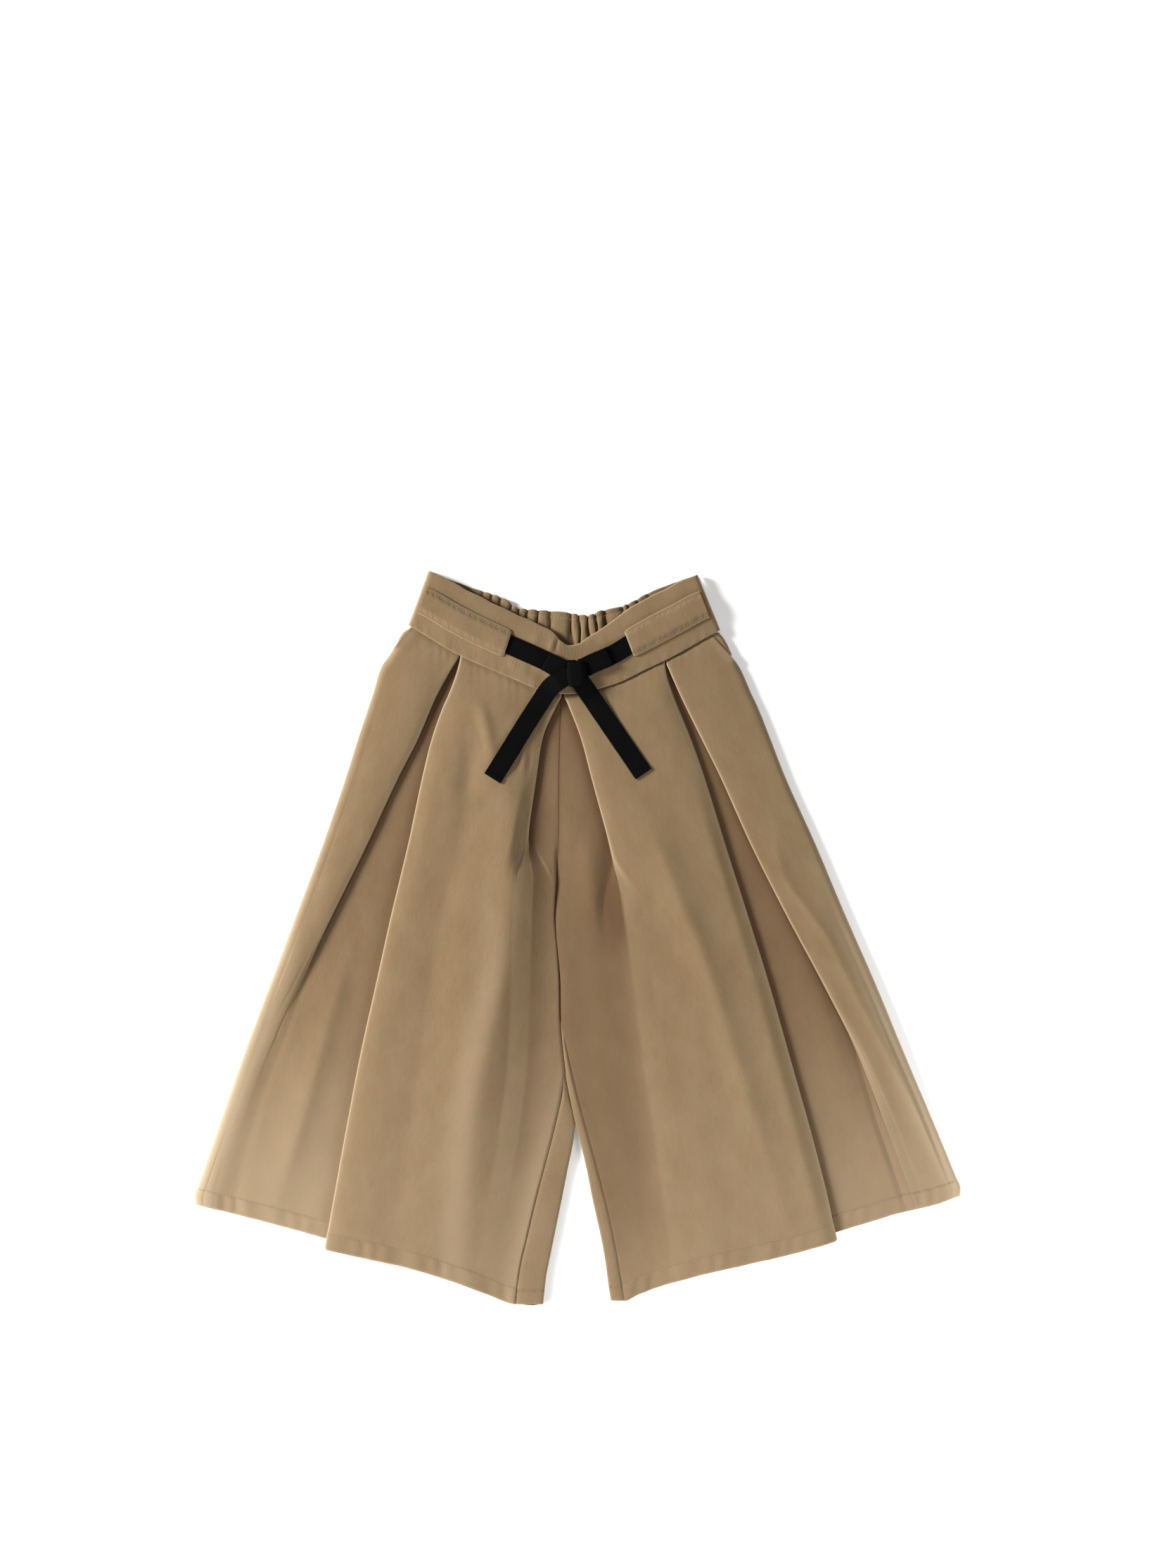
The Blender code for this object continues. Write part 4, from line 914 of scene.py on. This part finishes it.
def back_band():
    """The elasticated back waistband, inside face up, in uneven gathers with a ruffled edge."""
    steps = 9               # rows of points to each gather
    starts = np.array(GATHERS, float)
    share = np.tile(np.arange(steps) / steps, len(GATHERS) - 1)
    across, puff, edge = blend(
        np.repeat(starts[:-1], steps, axis=0), np.repeat(starts[1:], steps, axis=0),
        share[:, None]).T
    wave = 1.0 - np.abs(2.0 * share**1.25 - 1.0) ** 3.2
    ways = (across - starts[0, 0]) / (starts[-1, 0] - starts[0, 0])

    def place(way, down):
        top_x = blend(BACK_TOP[0][0], BACK_TOP[-1][0], way)
        foot_x = blend(BACK_SEAM[0][0] + 1.2, BACK_SEAM[-1][0] - 1.4, way)
        top_y = curve(BACK_TOP, top_x) + edge * (wave - 0.75)
        foot_y = curve(BACK_SEAM, foot_x) + SEAM_GAP
        ease = 1.0 - 0.70 * smooth((down - 0.35) / 0.65)
        channel = 1.0 - 0.45 * bell(down * BACK_BAND_HEIGHT - CHANNEL_DEPTH, 1.3)
        z = 0.72 + 0.2 * smooth(puff) + 1.5 * puff * wave * ease * channel
        sway = 0.9 * np.sin(down * 7.0 + across * 0.5) * smooth(puff) * smooth(down * 3)
        middle = np.stack([blend(top_x, foot_x, down) + sway, blend(top_y, foot_y, down), z],
                          axis=-1)
        rise = np.stack([top_x - foot_x, top_y - foot_y], axis=-1)
        return middle, rise / np.linalg.norm(rise, axis=-1, keepdims=True)

    # painted shade: darker in the gathers' valleys, and a little over the whole band
    painted_shade = 0.14 + 0.34 * smooth(puff) * (1.0 - smooth(wave / 0.6))
    return folded_band("cloth_back_waistband", ways, np.ones(len(ways)), place, BACK_PLY,
                       BACK_PLY / 2 + 0.02, 0.0, painted_shade[:, None])


def facing(leg):
    """The pocket facing behind the slant pocket mouth, down to the side seam."""
    keys = np.arange(len(leg.pocket))
    at = np.linspace(0.0, keys[-1], 40)
    out, up, inner, curl = (np.interp(at, keys, column) for column in zip(*leg.pocket))
    foot = LEG_WALL + SEAM_GAP
    columns = []
    for n in range(7):
        angle = math.pi / 2 * n / 6
        edge_out = out - 0.5 - 2.5 * (1.0 - math.cos(angle))
        flat_out = out - 0.5 - 2.5 * n / 6
        edge_z = blend(foot, FACING_Z, math.sin(angle))
        columns.append((blend(flat_out, edge_out, curl), up, blend(FACING_Z, edge_z, curl)))
    columns += [(blend(out - 3.0, inner, n / 12), up, FACING_Z) for n in range(1, 13)]
    grid = stacked(columns)
    grid[..., 0] *= leg.hand
    return cloth_mesh("cloth_pocket_facing_" + leg.name, grid, LEG_WALL,
                      (run_lengths(grid, 1), grid[..., 1]))


def casing(side, start, end):
    """A belt casing: stitched down along both long edges, arched over the ribbon."""
    lift = BAND_WALL / 2 + SEAM_GAP + 0.65
    arch = 1.0 + SEAM_GAP
    ways = blend(start, end, np.concatenate([
        np.linspace(0.0, 0.94, 84), (0.955, 0.97, 0.98, 0.988, 0.994, 1.0)]))
    near_end = np.abs(ways - end) * BAND_LENGTH
    shares = np.concatenate([(0.0, 0.02, 0.05), np.linspace(0.085, 0.915, 25), (0.95, 0.98, 1.0)])
    insides = np.minimum(shares, 1.0 - shares) * CASING_HEIGHT
    columns = []
    for share, inside in zip(shares, insides):
        middle, rise = band_places(ways, blend(CASING_TOP, CASING_FOOT, share))
        x, y = middle[:, 0].copy(), middle[:, 1].copy()
        z = lift + arch * smooth((inside - 1.0) / 5.0) - 0.16 * bell(inside - 2.5, 0.6)
        z -= 0.45 * smooth((0.7 - inside) / 0.7)
        z = z - 0.55 * smooth((1.1 - near_end) / 1.1)
        z += 0.20 * drift(x, y, 26.0, 6.0) * smooth((inside - 2.0) / 3.0)
        z += 0.14 * np.sin(x * 1.1 + 1.5 * np.sin(x * 0.37)) * bell(inside - 3.6, 1.6)
        corner = 1.1 * smooth((2.2 - near_end) / 2.2) * smooth((2.2 - inside) / 2.2)
        middle[:, :2] += rise * (corner * (-1.0 if share < 0.5 else 1.0))[:, None]
        middle[:, 2] += z
        columns.append(middle)
    wear_and_light = np.maximum(0.7 * smooth(1.0 - insides), 0.8 * smooth((1.2 - near_end) / 1.2)[:, None])
    # painted shade along the two stitch lines
    return cloth_mesh("cloth_casing_" + side, np.stack(columns, axis=1), CASING_PLY, None, wear_and_light,
                      0.16 * bell(insides - 2.5, 0.7), round_edge=0.22)


# ---------------------------------------------------------------- what lies on top

class Ground:
    """What a strip or a stitch lies on: the highest surface under a place."""

    def __init__(self, bodies):
        state = bpy.context.evaluated_depsgraph_get()
        state.update()
        self.trees = [BVHTree.FromObject(body, state) for body in bodies]

    def height(self, across, up):
        x, y, _ = place_of((across, up, 0.0))
        best = 0.0
        for tree in self.trees:
            hit = tree.ray_cast(Vector((x, y, 1.0)), Vector((0, 0, -1)))
            if hit[0] is not None:
                best = max(best, hit[0].z / MM)
        return best


def along(points, step):
    """Even places along a line through a table, with its direction at each."""
    corners = np.array(points, float)
    lengths = run_lengths(corners[None], 1)[0]
    at = np.linspace(0.0, lengths[-1], max(2, round(lengths[-1] / step)) + 1)
    rows = np.column_stack([lengths, corners])
    places = np.stack([curve(rows, at, 0, 1), curve(rows, at, 0, 2)], axis=-1)
    way = np.gradient(places, axis=0)
    return at, places, way / np.linalg.norm(way, axis=1, keepdims=True)


def band_line(start, end):
    middle, _ = band_places(np.linspace(start, end, 60), RIBBON_LINE)
    return along(middle[:, :2], RIBBON_STEP)


def laid(line, ground, margin=0.0, pitch=3.0):
    """Smooth heights of a ribbon along a line that stay above everything under it."""
    at, places, way = line
    width = RIBBON_WIDTH + margin
    picks = np.linspace(0.0, at[-1], max(3, round(at[-1] / pitch)) + 1)
    raw = []
    for s in picks:
        x, y, dx, dy = (np.interp(s, at, v) for v in (*places.T, *way.T))
        raw.append(max(
            ground.height(x - dy * width * side + dx * ahead, y + dx * width * side + dy * ahead)
            for side in np.linspace(-0.5, 0.5, 9) for ahead in (-1.5, 0.0, 1.5)
        ))
    top = [max(raw[max(0, n - 1):n + 2]) for n in range(len(raw))]
    eased = [np.mean(top[max(0, n - 1):n + 2]) for n in range(len(top))]
    return curve(list(zip(picks, eased)), at) + 0.15 + RIBBON_PLY / 2


def ribbon(name, at, centre, way, ends=(0.0, 0.0), creases=()):
    """A strip of ribbon along a line of centre points, with looped edges.

    way is its direction at each point; ends says how long the folded-under length is at each
    end; creases are places along it with a fold line's slant and height.
    """
    normal = np.stack([-way[:, 1], way[:, 0]], axis=-1)
    sides = np.array([-0.5, -0.5, -0.44, -0.3, -0.15, 0.0, 0.15, 0.3, 0.44, 0.5, 0.5])
    loops = PICOT_REACH * np.maximum(0.0, np.sin(2 * math.pi * at / PICOT_PITCH)) ** 0.7
    columns = []
    for i, side in enumerate(sides):
        reach = RIBBON_WIDTH * side + np.zeros(len(at))
        if i in (0, len(sides) - 1):
            reach += math.copysign(1.0, side) * (loops + 0.06)
        z = 0.12 * (1.0 - (2 * side) ** 2) + 0.05 * np.sin(at * 0.23 + side * 3.0)
        for spot, slant, tall in creases:
            z += tall * bell(at - spot - slant * side * RIBBON_WIDTH, 0.7)
        for run, end in zip((at, at[-1] - at), ends):
            z += 0.4 * (1.0 - smooth((run - end) / 0.5)) * (end > 0)
        place = centre.copy()
        place[:, :2] += normal * reach[:, None]
        place[:, 2] += z
        columns.append(place)
    grid = np.stack(columns, axis=1)
    return cloth_mesh(name, grid, RIBBON_PLY, (at[:, None], sides * RIBBON_WIDTH),
                      (np.abs(sides) > 0.43) * 0.6)


def laid_ribbon(name, line, ground, margin=0.0, pitch=3.0, **folds):
    """A single ribbon along a line, that lies on everything under it."""
    at, places, way = line
    centre = np.column_stack([places, laid(line, ground, margin, pitch)])
    return ribbon(name, at, centre, way, **folds)


def bow_loop(side, start, end, ground):
    """A flat loop: out along the lower layer, round its end, and back above it."""
    line = at, places, way = band_line(start, end)
    z = float(np.max(laid(line, ground)))
    radius = 0.62
    tip, ahead = places[-1], way[-1]
    bend = np.array([
        (*(tip + ahead * radius * math.sin(a)), z + radius * (1 - math.cos(a)))
        for a in np.linspace(0.0, math.pi, 9)[1:-1]])
    lower = np.column_stack([places, np.full(len(at), z)])
    hump = 0.45 * np.sin(math.pi * np.linspace(0.0, 1.0, len(at))) ** 0.8
    upper = np.column_stack([places, z + 2 * radius + hump])[::-1]
    centre = np.concatenate([lower, bend, upper])
    ways = np.concatenate([way, np.repeat(way[-1:], len(bend), axis=0), way[::-1]])
    return ribbon("cloth_bow_loop_" + side, run_lengths(centre[None], 1)[0], centre, ways)


def knot(ground):
    """The wrap round the bow's middle: one turn of ribbon, pulled narrow at its foot."""
    top, foot = np.array(KNOT_TOP), np.array(KNOT_FOOT)
    bed = [np.linspace(*reach, 7) for reach in BOW_BED]
    high = max(ground.height(x, y) for x in bed[0] for y in bed[1])
    ways = np.concatenate([np.full(4, 0.0), np.linspace(0.0, 1.0, 40), np.full(4, 1.0)])
    drops = np.concatenate([np.linspace(5.0, 0.9, 4), np.zeros(40), np.linspace(0.9, 3.4, 4)])
    table = [(n / (len(KNOT_WIDTHS) - 1), w) for n, w in enumerate(KNOT_WIDTHS)]
    widths = curve(table, ways)
    direction = (foot - top) / np.linalg.norm(foot - top)
    x, y = (blend(top[i], foot[i], ways) for i in (0, 1))
    base = high + 0.3 + RIBBON_PLY / 2 + 0.5 * np.abs(np.sin(math.pi * ways)) ** 0.5 - drops
    columns = []
    for side in np.linspace(-0.5, 0.5, 29):
        shoulder = 1.0 - abs(2 * side) ** 3.5
        fold = 0.12 * bell(side - 0.30 + 0.16 * ways, 0.09)
        fold -= 0.16 * bell(side + 0.26 - 0.12 * ways, 0.06)
        columns.append((x - direction[1] * widths * side, y + direction[0] * widths * side,
                        base - 1.3 * (1.0 - shoulder) + 0.2 * shoulder + fold))
    return cloth_mesh("cloth_bow_knot", stacked(columns), RIBBON_PLY)


# ---------------------------------------------------------------- stitches

def stitching(name, lines, body):
    """Short humps of thread, sunk a little in the cloth, along some lines on a piece."""
    ground = Ground([body])
    rings, sides = 5, 6
    vertices, faces = [], []
    for line in lines:
        for place, ahead in zip(*along(line, STITCH_PITCH)[1:]):
            ends = [place + ahead * STITCH_LENGTH / 2 * s for s in (-1, 1)]
            heights = [ground.height(*end) for end in ends]
            if abs(heights[0] - heights[1]) > STITCH_STEP or min(heights) < STITCH_LOW:
                continue
            normal = np.array((-ahead[1], ahead[0]))
            base = len(vertices)
            for share in np.linspace(0.0, 1.0, rings):
                hump = abs(math.sin(math.pi * share)) ** 0.5
                z = blend(heights[0], heights[1], share) - 0.20 + 0.22 * hump
                thick = THREAD * (0.55 + 0.45 * hump)
                for k in range(sides):
                    angle = 2 * math.pi * k / sides
                    spot = blend(ends[0], ends[1], share) + normal * thick * math.cos(angle)
                    vertices.append((spot[0], spot[1], z + thick * math.sin(angle)))
            for r in range(rings - 1):
                for k in range(sides):
                    a, b = base + r * sides + k, base + r * sides + (k + 1) % sides
                    faces.append((a, b, b + sides, a + sides))
            faces.append(tuple(base + k for k in reversed(range(sides))))
            faces.append(tuple(base + (rings - 1) * sides + k for k in range(sides)))
    piece = new_piece(name, vertices, faces)
    piece.data.shade_smooth()
    return dress(piece, THREAD_LOOK)


def hem_lines(leg):
    """Stitch lines of one leg's hem: outer panel with the underlay, and centre panel."""
    outer = np.linspace(float(leg.guide(1, -205.0)) - 1.5, OUTER_HEM_END, 60)
    centre = np.linspace(*CENTRE_HEM_STITCHES, 80)
    return [np.column_stack([leg.hand * out, hem(out) + HEM_DEPTH])
            for out, hem in ((outer, leg.outer_up), (centre, leg.centre_up))]


def casing_lines(start, end):
    """Stitch lines along both long edges of a casing."""
    ways = np.linspace(blend(start, end, 0.03), blend(start, end, 0.985), 50)
    return [band_places(ways, blend(CASING_TOP, CASING_FOOT, share))[0][:, :2]
            for share in CASING_STITCHES]


def header_line():
    """Stitch line below the gathered band's ruffled edge."""
    across = np.linspace(*HEADER_REACH, 90)
    return np.column_stack([across * 1.01, curve(BACK_TOP, across) - HEADER_DEPTH])


# ---------------------------------------------------------------- materials

TWILL_PITCH, WEFT_PITCH, RIB_PITCH = 1.15, 0.8, 0.95    # millimetres from rib to rib
TWILL_LEAN = 0.34               # the twill line's slant
BUMP_DEPTH = 0.00012            # metres
FLOOR_SIZE, FLOOR_DROP, FLOOR_GLOW = 14.0, 0.0004, 0.20


class Look:
    """A procedural material. Its methods add nodes, and give an output each."""

    def __init__(self, name):
        self.material = bpy.data.materials.new(name)
        self.material.use_nodes = True
        self.tree = self.material.node_tree
        self.shader = self.tree.nodes["Principled BSDF"]

    def put(self, socket, value):
        if isinstance(value, bpy.types.NodeSocket):
            self.tree.links.new(value, socket)
        else:
            socket.default_value = value

    def node(self, kind, inputs, **settings):
        """Outputs of a new node, with its inputs by their number or name."""
        made = self.tree.nodes.new("ShaderNode" + kind)
        for name, setting in settings.items():
            setattr(made, name, setting)
        for key, value in inputs.items():
            self.put(made.inputs[key], value)
        return made.outputs

    def math(self, kind, *values):
        return self.node("Math", dict(enumerate(values)), operation=kind)[0]

    def wave(self, along, pitch):
        return self.math("SINE", self.math("MULTIPLY", along, 2 * math.pi / pitch))

    def attribute(self, name, output="Fac"):
        return self.node("Attribute", {}, attribute_name=name)[output]

    def noise(self, vector, scale, detail, stretch=(1.0, 1.0, 1.0)):
        mapped = self.node("Mapping", {"Scale": stretch, "Vector": vector})[0]
        values = {"Scale": scale, "Detail": detail, "Vector": mapped}
        return self.node("TexNoise", values)["Fac"]

    def mix(self, share, a, b):
        return self.node("Mix", {0: share, 6: a, 7: b}, data_type="RGBA")[2]

    def remap(self, value, low, high, to_low, to_high):
        return self.node("MapRange", dict(enumerate((value, low, high, to_low, to_high))))[0]

    def bump(self, height, strength):
        values = {"Strength": strength, "Distance": BUMP_DEPTH, "Height": height}
        return self.node("Bump", values)[0]

    def finished(self, colour, roughness, normal=None):
        self.put(self.shader.inputs["Base Color"], colour)
        self.put(self.shader.inputs["Roughness"], roughness)
        if normal:
            self.put(self.shader.inputs["Normal"], normal)
        return self.material


TWILL_BASE = (0.213, 0.1405, 0.0700, 1.0)
TWILL_DARK = (0.140, 0.086, 0.038, 1.0)
TWILL_WARM = (0.230, 0.1365, 0.0670, 1.0)
TWILL_COOL = (0.193, 0.1455, 0.0700, 1.0)
TWILL_PALE_WEAR_AND_LIGHT = (0.450, 0.350, 0.230, 1.0)
TWILL_PAINTED_SHADE = (0.080, 0.034, 0.010, 1.0)
RIBBON_DARK = (0.0013, 0.0012, 0.0013, 1.0)
RIBBON_LIGHT = (0.0036, 0.0034, 0.0035, 1.0)
THREAD_DARK = (0.215, 0.145, 0.079, 1.0)
THREAD_LIGHT = (0.330, 0.234, 0.140, 1.0)


def twill():
    """Beige cotton twill: steep fine ribs, slubs, soft mottling, paler rubbed edges with painted
    highlights, painted light down the legs and painted shade.
    """
    look = Look("cotton_twill_look")
    weave = look.attribute("weave", "Vector")
    across, up, _ = look.node("SeparateXYZ", {0: weave})
    ribs = look.wave(look.math("MULTIPLY_ADD", up, TWILL_LEAN, across), TWILL_PITCH)
    threads = look.wave(up, WEFT_PITCH)
    slubs = look.noise(weave, 0.9, 3.0, (1.0, 0.10, 1.0))
    grain = look.noise(weave, 1.6, 2.0, (1.0, 0.45, 1.0))
    clouds = look.noise(weave, 0.055, 2.0, (1.0, 0.5, 1.0))
    hue = look.noise(weave, 0.12, 2.0)
    streaks = look.noise(weave, 0.42, 3.0, (1.0, 0.22, 1.0))
    wear_and_light = look.attribute("wear_and_light")

    colour = look.mix(look.remap(slubs, 0.34, 0.66, 0.0, 0.50), TWILL_BASE, TWILL_DARK)
    tone = look.mix(look.remap(hue, 0.35, 0.65, 0.0, 1.0), TWILL_WARM, TWILL_COOL)
    colour = look.mix(0.42, colour, tone)
    for share, tint in (
            (look.remap(grain, 0.38, 0.68, 0.0, 0.46), TWILL_DARK),
            (look.remap(ribs, -1.0, 1.0, 0.0, 0.22), TWILL_DARK),
            (look.remap(streaks, 0.30, 0.70, 0.0, 0.15), TWILL_DARK),
            (look.remap(clouds, 0.3, 0.7, 0.0, 0.09), TWILL_PALE_WEAR_AND_LIGHT),
            # paler at rubbed edges, and paler as painted highlights and painted light
            (look.math("MULTIPLY", wear_and_light, 0.34), TWILL_PALE_WEAR_AND_LIGHT),
            # painted light: paler further along the cloth, towards the legs' hems
            (look.remap(up, 60.0, 290.0, 0.0, 0.14), TWILL_PALE_WEAR_AND_LIGHT),
            # painted shade: darker in pleats, beside folds and along seams and stitch lines
            (look.math("MULTIPLY", look.attribute("painted_shade"), 0.78), TWILL_PAINTED_SHADE)):
        colour = look.mix(share, colour, tint)

    height = look.math("MULTIPLY_ADD", threads, 0.25, ribs)
    height = look.math("MULTIPLY_ADD", slubs, 1.6, height)
    look.shader.inputs["Sheen Weight"].default_value = 0.18
    look.shader.inputs["Sheen Roughness"].default_value = 0.55
    look.shader.inputs["Sheen Tint"].default_value = (0.9, 0.8, 0.65, 1.0)
    look.shader.inputs["Specular IOR Level"].default_value = 0.25
    return look.finished(colour, look.remap(slubs, 0.2, 0.8, 0.80, 0.94), look.bump(height, 0.35))


def grosgrain():
    """Black grosgrain: close cross ribs and duller edges."""
    look = Look("grosgrain_ribbon_look")
    weave = look.attribute("weave", "Vector")
    ribs = look.wave(look.node("SeparateXYZ", {0: weave})[0], RIB_PITCH)
    fine = look.noise(weave, 1.4, 2.0, (0.5, 2.0, 1.0))
    patch = look.noise(weave, 0.10, 2.0)
    colour = look.mix(look.remap(ribs, -1.0, 1.0, 0.15, 0.75), RIBBON_DARK, RIBBON_LIGHT)
    colour = look.mix(look.remap(patch, 0.3, 0.7, 0.0, 0.45), colour, RIBBON_LIGHT)
    colour = look.mix(look.math("MULTIPLY", look.attribute("wear_and_light"), 0.5), colour, RIBBON_DARK)
    height = look.math("MULTIPLY_ADD", fine, 0.7, ribs)
    look.shader.inputs["Specular IOR Level"].default_value = 0.03
    return look.finished(colour, look.remap(fine, 0.2, 0.8, 0.70, 0.86), look.bump(height, 0.5))


def thread():
    """Matching sewing thread, a little paler than the cloth, with a fine twist."""
    look = Look("sewing_thread_look")
    twist = look.noise(look.node("TexCoord", {})["Object"], 2600.0, 1.0)
    colour = look.mix(look.remap(twist, 0.3, 0.7, 0.0, 1.0), THREAD_DARK, THREAD_LIGHT)
    return look.finished(colour, 0.7)


def paper():
    """The pale floor: a very faint tooth, so that it isn't one flat colour."""
    look = Look("pale_floor")
    tooth = look.noise(look.node("TexCoord", {})["Object"], 900.0, 2.0)
    colour = look.mix(tooth, (0.93, 0.93, 0.925, 1.0), (0.95, 0.95, 0.95, 1.0))
    look.shader.inputs["Specular IOR Level"].default_value = 0.1
    look.shader.inputs["Emission Color"].default_value = (1.0, 1.0, 1.0, 1.0)
    look.shader.inputs["Emission Strength"].default_value = FLOOR_GLOW
    return look.finished(colour, 0.9)


# ---------------------------------------------------------------- the garment

COTTON_LOOK, RIBBON_LOOK, THREAD_LOOK = twill(), grosgrain(), thread()

LEFT = Leg(
    "left", -1, rows=LEFT_ROWS, inseam=LEFT_INSEAM, inner=LEFT_INNER, outer_hem=LEFT_OUTER_HEM,
    centre_hem=LEFT_CENTRE_HEM, side_pleat=LEFT_SIDE_PLEAT, front_pleat=LEFT_FRONT_PLEAT,
    ridges=LEFT_RIDGES, under_ridges=LEFT_UNDER, middle_ridges=(), under_depth=LEFT_SHADE,
    pocket=POCKET_LEFT, strip_top=-97.0, foot_side=-214.6, foot_seam=-295.9,
    opening=(15.0, -7.0), side_roll=2.0)
RIGHT = Leg(
    "right", 1, rows=RIGHT_ROWS, inseam=RIGHT_INSEAM, inner=RIGHT_INNER,
    outer_hem=RIGHT_OUTER_HEM, centre_hem=RIGHT_CENTRE_HEM, side_pleat=RIGHT_SIDE_PLEAT,
    front_pleat=RIGHT_FRONT_PLEAT, ridges=RIGHT_RIDGES, under_ridges=RIGHT_UNDER,
    middle_ridges=RIGHT_MIDDLE, under_depth=RIGHT_SHADE, pocket=POCKET_RIGHT, strip_top=-66.0,
    foot_side=-208.4, foot_seam=-293.0, opening=(18.0, 4.0), side_roll=0.6)


def dress(piece, look):
    piece.data.materials.append(look)
    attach(piece, "root")
    return piece


def cloth_piece(piece, look=COTTON_LOOK):
    """Give a piece its look, and hide the solid's node that it replaces."""
    node = piece.name.removeprefix("cloth_")
    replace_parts(dress(piece, look), node)
    return piece


def ribbon_piece(piece):
    return cloth_piece(piece, RIBBON_LOOK)


def garment():
    fronts, backs = [], []
    for leg in (LEFT, RIGHT):
        fronts.append(cloth_piece(leg.front()))
        backs.append(cloth_piece(leg.back()))
        cloth_piece(facing(leg))
    band = cloth_piece(front_band())
    back = cloth_piece(back_band())

    on_band = Ground([band])
    stretches = [
        ribbon_piece(laid_ribbon("cloth_ribbon_" + side, band_line(*ends), on_band))
        for side, ends in (("left", (0.235, 0.545)), ("right", (0.765, 0.556)))
    ]
    casings = [
        cloth_piece(casing(side, *ends))
        for side, ends in (("left", LEFT_CASING), ("right", RIGHT_CASING))
    ]
    on_stretches = Ground([band] + stretches)
    bow = [
        ribbon_piece(bow_loop(side, *ends, on_stretches))
        for side, ends in (("left", (0.545, 0.385)), ("right", (0.556, 0.675)))
    ]
    for side, points, creases in (("left", LEFT_TAIL, ((19.2, -0.35, 0.30),)),
                                  ("right", RIGHT_TAIL, ((13.0, 0.25, 0.15),))):
        end = laid_ribbon("cloth_tail_" + side, along(points, RIBBON_STEP),
                          Ground(fronts + [band] + stretches + bow), margin=1.0, pitch=4.0,
                          ends=(0.0, 3.6), creases=creases)
        bow.append(ribbon_piece(end))
    ribbon_piece(knot(Ground([band] + stretches + bow)))

    for leg, front, behind in zip((LEFT, RIGHT), fronts, backs):
        stitching("stitches_hem_" + leg.name, hem_lines(leg), front)
        strip = [(leg.hand * out, leg.foot_seam + HEM_DEPTH - 2.0)
                 for out in INNER_HEM_STITCHES]
        stitching("stitches_inner_hem_" + leg.name, [strip], behind)
    stitching("stitches_casing_left", casing_lines(*LEFT_CASING), casings[0])
    stitching("stitches_casing_right", casing_lines(*RIGHT_CASING), casings[1])
    stitching("stitches_header", [header_line()], back)


def floor():
    bpy.ops.mesh.primitive_plane_add(size=FLOOR_SIZE, location=(0.0, 0.0, -FLOOR_DROP))
    ground = bpy.context.object
    ground.name = "floor"
    ground.data.materials.append(paper())


# ---------------------------------------------------------------- light and camera

LIGHTS = (
    # name, place, aim, size, power, colour
    ("key", (-2.2, 0.86, 0.95), (0.0, 0.0, 0.0), 0.72, 154.0, (1.0, 0.985, 0.96)),
    ("foot_left", (-0.80, -0.80, 0.42), (-0.28, -0.20, 0.0), 0.45, 7.0, (1.0, 0.99, 0.97)),
    ("foot_right", (0.82, -0.72, 0.42), (0.28, -0.18, 0.0), 0.45, 10.0, (1.0, 0.99, 0.97)),
    ("side", (2.3, -1.1, 0.85), (0.0, -0.1, 0.0), 1.2, 12.0, (0.98, 0.99, 1.0)),
)
SKY_STRENGTH = 0.17
PHOTO_HEIGHT = 1.271            # what the photograph's full height shows at the garment
PHOTO_CENTRE = (0.0030, 0.1250)
GARMENT_HEIGHT = 0.006
LENS, SENSOR = 85.0, 36.0


def studio():
    scene = bpy.context.scene
    for name, place, aim, size, power, colour in LIGHTS:
        data = bpy.data.lights.new(name, "AREA")
        data.shape = "DISK"
        data.size = size
        data.energy = power
        data.color = colour
        lamp = bpy.data.objects.new(name, data)
        lamp.location = place
        lamp.rotation_euler = (Vector(aim) - Vector(place)).to_track_quat("-Z", "Y").to_euler()
        scene.collection.objects.link(lamp)
    world = bpy.data.worlds.new("studio")
    world.use_nodes = True
    sky = world.node_tree.nodes["Background"]
    sky.inputs[0].default_value = (1.0, 1.0, 1.0, 1.0)
    sky.inputs[1].default_value = SKY_STRENGTH
    scene.world = world
    scene.view_settings.view_transform = "Standard"


def camera():
    data = bpy.data.cameras.new("camera")
    data.sensor_fit = "VERTICAL"
    data.sensor_height = SENSOR
    data.lens = LENS
    eye = bpy.data.objects.new("camera", data)
    eye.location = (*PHOTO_CENTRE, PHOTO_HEIGHT * LENS / SENSOR + GARMENT_HEIGHT)
    bpy.context.scene.collection.objects.link(eye)
    bpy.context.scene.camera = eye


garment()
floor()
studio()
camera()
